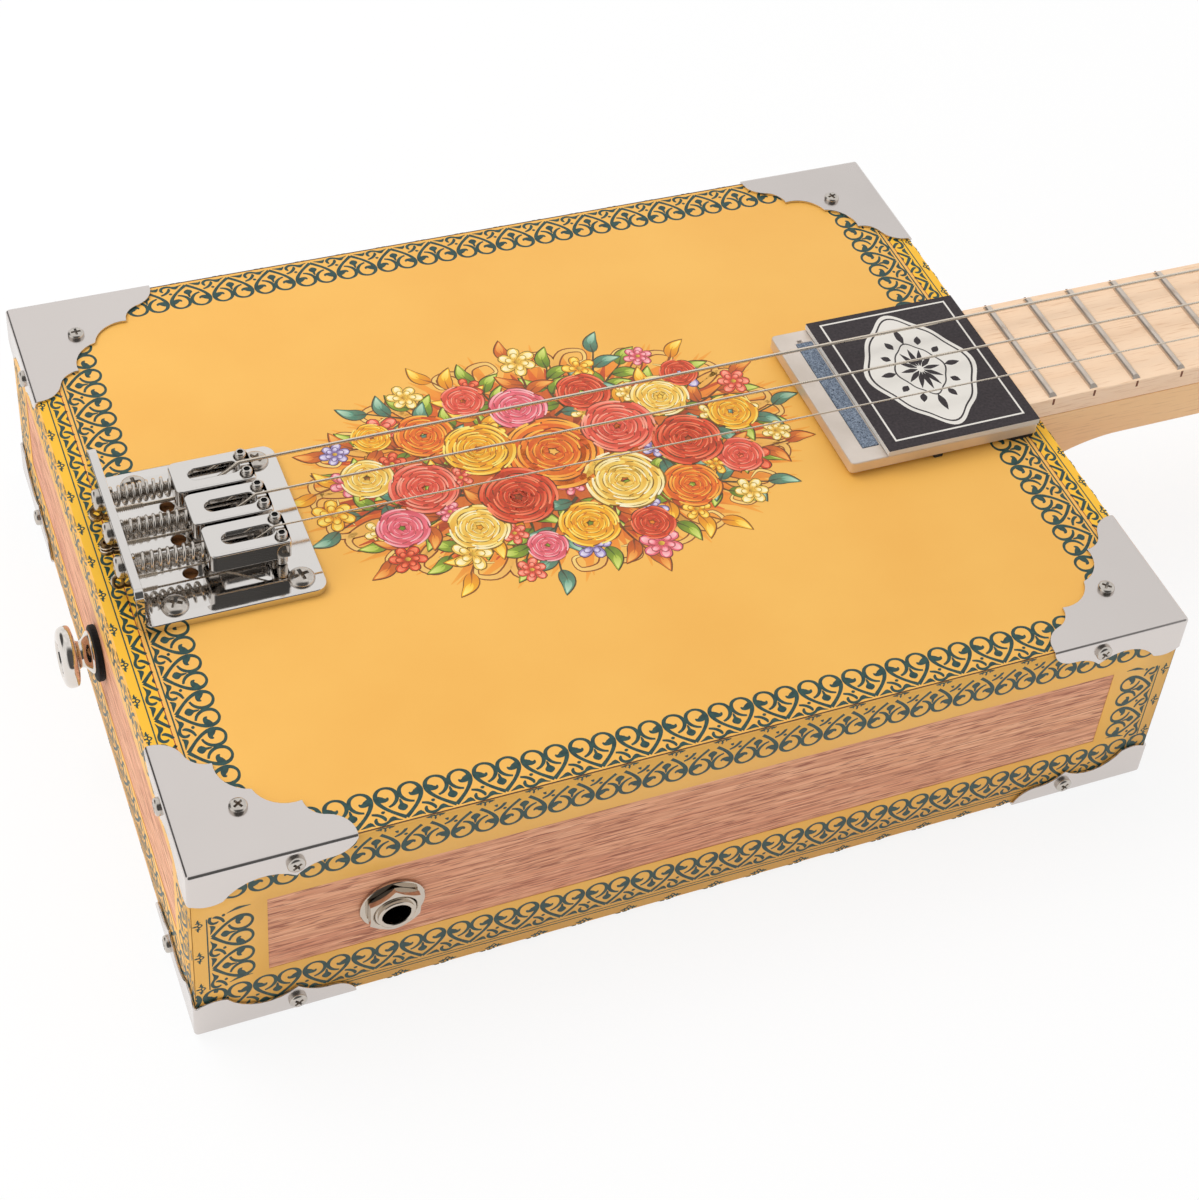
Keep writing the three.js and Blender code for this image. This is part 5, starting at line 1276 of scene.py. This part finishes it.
# The strings' places at the nut; each post, its eye and the turns of string round it; the turns of
# the wrap; which way each ball's hole looks; and how the string crests the saddle's slot.
NUT_Y = np.array((12.95, 0.0, -12.95))
NUT_BACK = 555.0
POST_PLACES = ((594.96, 12.0), (639.952, 12.0), (617.012, -12.0))
POST_RADIUS = 2.6
EYE_Z = 57.1
WINDINGS, WINDING_PITCH = 2.5, 1.6
WRAPS = 16
CREST = ((-1.6, -1.05), (-0.7, -0.35), (0, 0), (0.8, 0.02))
BALL_OUT = ((0, -0.45, 0.89), (0, 0.1, 0.995), (0, -0.8, 0.6))
BALL_PROFILE = [(0.9, -1.45), (1.35, -1.45), (1.6, -1.15), (1.25, -0.55), (1.2, 0), (1.25, 0.55),
                (1.6, 1.15), (1.35, 1.45), (0.9, 1.45), (0.9, -1.45)]
string_steel = drawn_steel("string_steel_wire", "E6DACA", 0.3, (3000, 400, 400), (0.22, 0.4), 2)
brass = Finish("brass_ball_end", "C99A55", roughness=0.28, metallic=1.0)
tarnish = brass.share(brass.grain(700, 3), 0.4, 0.7)
brass.coloured(brass.mixed(tarnish, tint("8E7048"), tint("5E4A34")))


def wound(name, k, path, thick, across, sides):
    """A piece of wire of string k that keeps its place on the box."""
    make(f"{name}_{k + 1}", wire(path * MM, thick * MM, across, sides), string_steel,
         stands_for=[f"string_{k + 1}"], sharp=60)


for k in range(3):
    radius, y, rear, saddle = STRING_R[k], STRING_Y[k], SADDLE_REAR[k], f"saddle_{k + 1}"
    thin = radius * 0.8
    rise = rear + 4.7
    lift = [(FLANGE_X + 0.2, y, FLANGE_Z), (rise - 2, y, FLANGE_Z), (rise, y, FLANGE_Z),
            (rise + 1.6, y, FLANGE_Z + 0.9)]
    top_x, top_z = rear + SLOT_END, SADDLE_TOP + 0.3 + radius
    crest = [(top_x + x, y, top_z + z) for x, z in CREST]
    nut_z = BOARD_TOP + FRET_HEIGHT + 0.5 + radius
    over = [(NUT_X, NUT_Y[k], nut_z), (NUT_BACK, NUT_Y[k], nut_z)]
    post_x, post_y = POST_PLACES[k]
    side = math.copysign(1, post_y)
    ring = POST_RADIUS + 0.3 + radius
    turns = np.linspace(0, WINDINGS, 81)
    lean = -math.pi / 2 + math.tau * turns
    coil = np.stack([post_x + ring * np.cos(lean), post_y + side * ring * np.sin(lean),
                     EYE_Z + (turns - WINDINGS) * WINDING_PITCH], -1)
    last = lean[-1] + radius / ring
    tail = [(post_x + r * math.cos(last), post_y + side * r * math.sin(last), EYE_Z)
            for r in (ring - radius / 3, ring - 2 * radius)]
    for part, path, thick, bodies, start, end in (
            ("start", [lift, crest], thin, ("root", saddle), lift[0], lift[1]),
            ("length", [crest[2:], over, coil, tail], 0.985 * thin, (saddle, "root"), crest[3],
             over[0])):
        piece = make(f"string_{part}_{k + 1}", wire(np.vstack(path) * MM, thick * MM, (0, 0, 1)),
                     string_steel, None, stands_for=[f"string_{k + 1}"], sharp=60)
        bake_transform(piece)

    # Its own end wrapped back round it in close turns, and the ball that holds it at the flange.
    wraps = np.linspace(0, 1, WRAPS * 10)
    spin = wraps * math.tau * WRAPS + 0.8 * np.sin(wraps * 9)
    around = thin + 0.13
    twist = np.stack([FLANGE_X + 2.1 + (7.5 - k) * wraps, y + around * np.cos(spin),
                      FLANGE_Z + around * np.sin(spin)], -1)
    wound("string_wrap", k, twist, 0.16, (1, 0, 0), 6)
    out = np.array(BALL_OUT[k])
    lay = np.array(((1, 0, 0), np.cross(out, (1, 0, 0)), out))
    at = np.array((FLANGE_X - 1.0, y, FLANGE_Z + 0.1))
    points, faces = turned(BALL_PROFILE, 24, False)
    make(f"string_ball_{k + 1}", in_metres((points @ lay + at, faces)), brass,
         stands_for=[f"string_{k + 1}"], sharp=40)
    lean = np.linspace(0, math.tau * 1.9, 60)
    loop = np.stack([1.45 * np.cos(lean), 1.45 * np.sin(lean), 0.14 * (lean - math.tau)], -1)
    wound("string_loop", k, loop @ lay + at, 0.2, out, 6)


# Pickup: a flat cast metal base on dark foam pads, with a card cover at the neck side and a strip
# of grit let in at the tail side. It is held down by the foam's glue.
def satin_metal(name, light, dark):
    """Bead-blasted metal: a fine even grain with faint clouds in it."""
    finish = Finish(name, roughness=0.45, metallic=0.75)
    clouds = finish.share(finish.grain(60, 4), 0.3, 0.7)
    blast = finish.grain(2600, 2)
    finish.coloured(finish.mixed(clouds, tint(light), tint(dark)))
    finish.roughened(blast, 0.42, 0.6)
    finish.raised(blast, 0.02)
    return finish


# The base's extent, the trench for the strip of grit, and the notch at its end.
PICKUP_X, PICKUP_HALF, BASE_Z = (60.8, 112.0), 24.3, (54.4, 57.6)
STRIP_X, STRIP_HALF, STRIP_LOW, STRIP_TOP = (65.8, 70.3), 19.8, 56.6, 57.72
STRIP_GAP = 0.12
NOTCH = ((66.6, 67.9), (19.0, 20.9), (56.9, 60))
pickup_metal = satin_metal("pickup_cast_metal", "F0E4DA", "DCD0C4")
slab = raised_plan(rounded_plan(PICKUP_X, (-PICKUP_HALF, PICKUP_HALF), 1.2, 0.6), BASE_Z)
trench = box_shape(STRIP_X, (-STRIP_HALF, STRIP_HALF), (STRIP_LOW, 60))
base = make("pickup_base_metal", in_metres(carved(slab, trench, box_shape(*NOTCH))), pickup_metal,
            stands_for=["pickup_base"], sharp=32)
softened(base, 0.22)
foam = Finish("dark_foam", "2B2723", roughness=0.95)
foam.raised(foam.grain(1200, 3), 0.1)
pad_z = (box_high[2] + PAPER, BASE_Z[0] + 0.05)
pads = [box_shape(x, y, pad_z)
        for x in ((62.8, 74), (98.8, 110)) for y in ((-22.3, -10), (10, 22.3))]
pads += [box_shape(x, (-24.0, -20), pad_z) for x in ((84, 86.2), (105.6, 111.4))]
pads.append(box_shape((78, 95), (-21.5, 21.5), pad_z))
make("pickup_foam_pads", in_metres(gathered(*pads)), foam,
     stands_for=["pickup_base"])

grit = Finish("striker_grit_strip", roughness=0.9)
coarse = grit.share(grit.grain(2400, 2), 0.35, 0.68)
dark_grains = grit.share(grit.grain(3400, 2, (0.4, 0.9, 0.2)), 0.58, 0.66)
grains = grit.mixed(coarse, tint("5E6A7C"), tint("96A2B2"))
grit.coloured(grit.mixed(dark_grains, grains, tint("2A3340")))
grit.raised(coarse, 0.12)
strip = box_shape((STRIP_X[0] + STRIP_GAP, STRIP_X[1] - STRIP_GAP),
                  (STRIP_GAP - STRIP_HALF, STRIP_HALF - STRIP_GAP),
                  (STRIP_LOW + STRIP_GAP, STRIP_TOP))
eased(make("striker_strip", in_metres(strip), grit,
           stands_for=["pickup_striker"]), 0.08)

# Its cover: black card with a fine weave, a white cut edge, and a thin white line near the border.
CARD_X, CARD_HALF, CARD_LOW, CARD_TOP = (70.5, 112.0), 24.5, 57.8, 59.4
card_edge = Finish("white_card_core", "D8D2CA", roughness=0.75)
card_edge.raised(card_edge.grain((900, 900, 3500), 2), 0.03)
card_face = Finish("black_card_face", "33292B", roughness=0.6)
weave = card_face.grain(1500, 3)
woven = card_face.share(weave, 0.35, 0.7)
card_face.coloured(card_face.mixed(woven, tint("241C1F"), tint("382F32")))
card_face.raised(weave, 0.03)
white_line = Finish("white_card_line", "E9E4DC", roughness=0.6)
for layer, finish, inset, heights, round_edge in (
        ("core", card_edge, 0, (CARD_LOW, CARD_TOP - 0.12), 0.1),
        ("top", card_face, 0.02, (CARD_TOP - 0.13, CARD_TOP), 0.05)):
    shape = box_shape((CARD_X[0] + inset, CARD_X[1] - inset),
                      (inset - CARD_HALF, CARD_HALF - inset), heights)
    eased(make(f"pickup_card_{layer}", in_metres(shape), finish,
               stands_for=["pickup_card"]), round_edge)


def card_print(name, flat_shapes, finish, lift):
    """Flat shapes printed on the card, as one piece at a lift above it."""
    points, faces = gathered(*flat_shapes)
    points = np.column_stack([points, np.full(len(points), CARD_TOP + lift)])
    make(name, in_metres((points, faces)), finish, outward=BOX_INSIDE,
         closed=False)


def outline(outer, inner):
    """A closed line between two rings of points."""
    points = np.vstack([outer, inner])
    n, count = np.arange(len(outer)), len(outer)
    beside = (n + 1) % count
    return points, np.stack((n, beside, count + beside, count + n), -1).tolist()


PRINT_LIFT = 0.006
LINE_X = (73.5, 109.2)
LINE_Y = (-21.7, 22.9)
LINE_WIDTH = 0.5
frame_line = [rounded_plan((LINE_X[0] + inset, LINE_X[1] - inset),
                           (LINE_Y[0] + inset, LINE_Y[1] - inset), 0.05, 0.05, 2)
              for inset in (0, LINE_WIDTH)]
card_print("card_white_line", [outline(*frame_line)], white_line, PRINT_LIFT)

# A pale cartouche of plain curves stands in the middle of the card, with a black line inside its
# edge and a star of leaves. Its edge is an oval that swells four and eight times round.
CARTOUCHE_STEPS = 96
LEAVES = 12
OUTER_LEAF = (0.2, 1.9, 1.6, 0.1)
INNER_LEAF = (0.2, 1.5, 1.1, 0.1)
middle = np.array((sum(LINE_X) / 2, sum(LINE_Y) / 2))
lean = np.arange(CARTOUCHE_STEPS) * math.tau / CARTOUCHE_STEPS
waved = np.stack([np.cos(lean), np.sin(lean)], -1)
waved *= (1 + 0.07 * np.cos(4 * lean) + 0.03 * np.cos(8 * lean))[:, None]
rim = lambda wide, tall: middle + waved * (wide, tall)
card_print("card_cartouche", [outline(rim(13.6, 19.2), rim(0, 0))], white_line, PRINT_LIFT)
rules = [outline(rim(12.6, 18.1), rim(12.1, 17.6)), outline(rim(6.3, 9.0), rim(5.9, 8.6))]
card_print("card_cartouche_line", rules, card_face, 2 * PRINT_LIFT)
leaves = []
for n in range(LEAVES):
    way = np.array((math.cos(math.tau * n / LEAVES) * 0.7, math.sin(math.tau * n / LEAVES)))
    far_out = 15.6 if n % 3 == 0 else 13.2
    for start, end, widths in ((9.8, far_out, OUTER_LEAF), (1.2, 7.6, INNER_LEAF)):
        path = curve([way * start, way * (start + end) / 2, way * end], 4)
        leaves.append(ribbon(middle + path, widths))
card_print("card_cartouche_leaves", leaves, card_face, 2 * PRINT_LIFT)


# Lead: a black sheathed cable from the pickup, down through the lid and along the back to the jack.
# It lies inside the box, and the part's own solid has its shape.
lead_black = Finish("black_lead_sheath", "151414", roughness=0.6)
dressed(["pickup_lead"], lead_black)


# Output jack: a threaded nickel sleeve through the jack side, held by a washer and a hexagon nut,
# with its frame and a springy tip contact inside the box.
jack_plate = plated("jack_nickel_plate", "C9BEB1", (0.08, 0.16), 200)
contact_steel = Finish("contact_spring_steel", "B8B2A6", roughness=0.25, metallic=1.0)
dressed(["jack_contact"], contact_steel)
JACK_X, JACK_Z, JACK_FACE = -73.8, 27.35, -93.6
JACK_BORE = 3.175
NUT_FLATS = 11
SIDES = 32
sleeve = [(JACK_BORE, -0.15), (3.32, 0.0), (3.95, 0.0), (4.1, -0.12), (4.1, -0.8), (4.45, -0.85)]
flange = [(6.6, -7.9), (6.6, -9.5), (JACK_BORE, -9.5), (JACK_BORE, -0.15)]
thread = threaded(4.65, 0.2, 0.79, -7.8, -0.9, SIDES)[::-1]
ringed = lambda profile: [ring_of(*pair, SIDES) for pair in profile]
rings = ringed(sleeve) + thread + ringed(flange)
socket = [placed(loft(rings, (False, False)), "jack_side", (JACK_X, JACK_FACE, JACK_Z))]
for y, low in (((-85.7, -84.1), 4.65), ((-84.2, -78.1), 6.2)):
    socket.append(in_metres(box_shape((JACK_X - 5, JACK_X + 5), y, (JACK_Z + low, JACK_Z + 11.8))))
make("jack_sleeve", gathered(*socket), jack_plate, stands_for=["jack_socket"])
washer = turned([(4.95, -0.4), (6.9, -0.4), (7.2, -0.15), (7.2, 0.25), (7.05, 0.4), (4.95, 0.4),
                 (4.95, -0.4)], 40, False)
make("jack_washer_ring", placed(washer, "jack_side", (JACK_X, -90.3, JACK_Z)), jack_plate,
     stands_for=["jack_washer"])


def hex_nut(flats, half, bore, sides=48):
    """A hexagon nut, cut to a cone at its corners, with a chamfered bore."""
    hexed = hexagon(flats, sides, math.pi / 6)
    cone = np.maximum(hexed - flats / 2 * 1.015, 0) * 0.55
    face = flats / 2 * 0.97
    rows = ((bore, -half), (face, -half), (hexed, cone - half), (hexed, half - cone), (face, half),
            (bore + 0.35, half), (bore, half - 0.3), (bore, -half))
    return loft([ring_of(*pair, sides) for pair in rows], (False, False))


make("jack_nut_hexagon", placed(hex_nut(NUT_FLATS, 1, 4.7), "jack_side", (JACK_X, -91.8, JACK_Z)),
     jack_plate, stands_for=["jack_nut"], sharp=30)


# Strap button: a turned and plated knob on a black felt washer, held by a cross-head screw sunk in
# its dished head. It stands on the middle of the tail.
STRAP_Y, STRAP_Z = -4.0, 29.25
FELT_DROP = 0.75
felt = Finish("pressed_black_felt", "0A090A", roughness=1.0)
felt.shader.inputs["Sheen Weight"].default_value = 0.1
felt.raised(felt.grain(1800, 4), 0.15)
felt_ring = turned([(3.0, 0.0), (6.35, 0.0), (6.65, 0.3), (6.65, 1.3), (6.3, 1.58), (3.0, 1.58),
                    (3.0, 0.0)], 40, False)
make("strap_felt_washer", placed(felt_ring, "tail", (-116.3, STRAP_Y, STRAP_Z - FELT_DROP)), felt,
     stands_for=["strap_felt"], sharp=40)
button_plate = plated("strap_button_plate", "E0DAD3", (0.05, 0.1), 120)
knob = curve([(5.0, 0), (4.95, 0.5), (4.3, 1.05), (3.4, 1.8), (3.1, 2.5), (3.15, 3.0), (3.6, 3.35),
              (5.4, 3.68), (6.6, 3.95), (7.1, 4.4), (7.2, 5.2), (7.05, 6.1), (6.4, 6.85),
              (5.2, 7.25), (4.4, 7.3)], 3)
knob = np.vstack([[(2.3, 0)], knob, [(3.95, 6.95), (3.7, 5.0), (2.3, 4.8), (2.3, 0)]])
make("strap_knob", placed(turned(knob, 48, False), "tail", (-118.0, STRAP_Y, STRAP_Z)),
     button_plate, stands_for=["strap_button"], sharp=40)
strap_shank = turned([(0, -24.7), (1.9, -22.4), (1.9, -0.5), (3.2, 0.05), (0, 0.06)], 20)
at = (-122.6, STRAP_Y, STRAP_Z)
strap_screw = gathered(placed(cross_head(3.35, 1.6), "tail", at, 0.6),
                       placed(strap_shank, "tail", at))
make("strap_wood_screw", strap_screw, screw_plate, stands_for=["strap_screw"])


# Tuners: three sealed die-cast machines under the head, chromed, each with a hexagon nut and washer
# over its bushing, a waisted post and a flat turned button. The part's own solids have that shape.
tuner_plate = plated("tuner_chrome_plate", "DAD7D3", (0.06, 0.14), 150)
dressed([f"tuner_{what}_{k}" for what in ("housing", "post", "button") for k in (1, 2, 3)],
        tuner_plate)


# The setting: a plain pale floor under the corner screws, with soft studio light from above. What
# the camera sees of the floor is mostly an even glow, and what bright metal mirrors a little less.
FLOOR_HALF, FLOOR_Z = 6, -0.0021
floor_mesh = bpy.data.meshes.new("floor")
floor_mesh.from_pydata([(*corner, FLOOR_Z) for corner in oblong(FLOOR_HALF)], [], [(0, 1, 2, 3)])
floor = bpy.data.objects.new("floor", floor_mesh)
scene.collection.objects.link(floor)
white = Finish("pale_floor", "FFFFFF", roughness=0.9)
glow = white.put("Emission", Color=(1, 1, 1, 1), Strength=1.0)
rays = white.put("LightPath").outputs
seen = white.put("Math", operation="MULTIPLY", Value=rays["Is Camera Ray"])
seen.inputs[1].default_value = 0.85
mirrored = white.put("Math", operation="MULTIPLY_ADD", Value=rays["Is Glossy Ray"])
mirrored.inputs[1].default_value = 0.7
white.feed(mirrored.inputs[2], seen.outputs[0])
blend = white.put("MixShader")
lights = (mirrored.outputs[0], white.shader.outputs[0], glow.outputs[0])
for socket, value in zip(blend.inputs, lights):
    white.feed(socket, value)
white.feed(white.tree.nodes["Material Output"].inputs["Surface"], blend.outputs[0])
floor_mesh.materials.append(white.material)
floor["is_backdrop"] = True


def softbox(name, at, size, power, aim=(0.0, 0.0, 0.03)):
    """A square soft light at a place, turned towards the guitar."""
    lamp = bpy.data.lights.new(name, "AREA")
    lamp.shape = "RECTANGLE"
    lamp.size = lamp.size_y = size
    lamp.energy = power
    holder = bpy.data.objects.new(name, lamp)
    away = Vector(at) - Vector(aim)
    holder.matrix_world = Matrix.Translation(at) @ away.to_track_quat("Z", "Y").to_matrix().to_4x4()
    holder.visible_glossy = False
    scene.collection.objects.link(holder)


softbox("key", (-0.9, 0.7, 1.8), 1.5, 20.5)
softbox("tail_fill", (-1.7, -0.2, 0.35), 1.0, 4.5)

# The room is a little uneven white, with two dark parts that the bright metal shows: one behind the
# camera, and a smaller one beyond the tail. Each starts at one cosine from its middle and is full
# at another.
DARK_PARTS = (((-0.1, -0.8, 0.59), 0.58, 0.86), ((-0.7, 0.62, 0.34), 0.88, 0.96))
ROOM_LIGHT = 0.65
world = bpy.data.worlds.new("studio")
scene.world = world
world.use_nodes = True
room = Nodes(world.node_tree)
background = room.tree.nodes["Background"]
darker = room.put("Math", operation="MINIMUM")
for n, (where, start, full) in enumerate(DARK_PARTS):
    toward = room.put("VectorMath", operation="DOT_PRODUCT")
    room.feed(toward.inputs[0], room.put("TexCoord").outputs["Generated"])
    room.feed(toward.inputs[1], where)
    shade = room.put("MapRange", interpolation_type="SMOOTHSTEP", Value=toward.outputs["Value"],
                     From_Min=start, From_Max=full, To_Min=0.95, To_Max=0.09)
    room.feed(darker.inputs[n], shade.outputs[0])
cloud = room.put("TexNoise", Vector=room.put("TexCoord").outputs["Generated"], Scale=2.6,
                 Detail=1.0)
dim = room.put("MapRange", Value=cloud.outputs[0], From_Min=0.35, From_Max=0.6, To_Min=0.86,
               To_Max=1.08)
clouded = room.put("Math", operation="MULTIPLY", Value=darker.outputs[0])
room.feed(clouded.inputs[1], dim.outputs[0])
rays = room.put("LightPath").outputs


def chosen(ray, otherwise, level):
    """A level of light for one kind of ray, and another for the rest."""
    pick = room.put("Mix")
    for index, value in ((0, rays[ray]), (2, otherwise), (3, level)):
        room.feed(pick.inputs[index], value)
    return pick.outputs[0]


lit = chosen("Is Glossy Ray", ROOM_LIGHT, clouded.outputs[0])
room.feed(background.inputs["Strength"], chosen("Is Camera Ray", lit, 1.0))
background.inputs["Color"].default_value = (1, 1, 1, 1)

low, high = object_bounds()
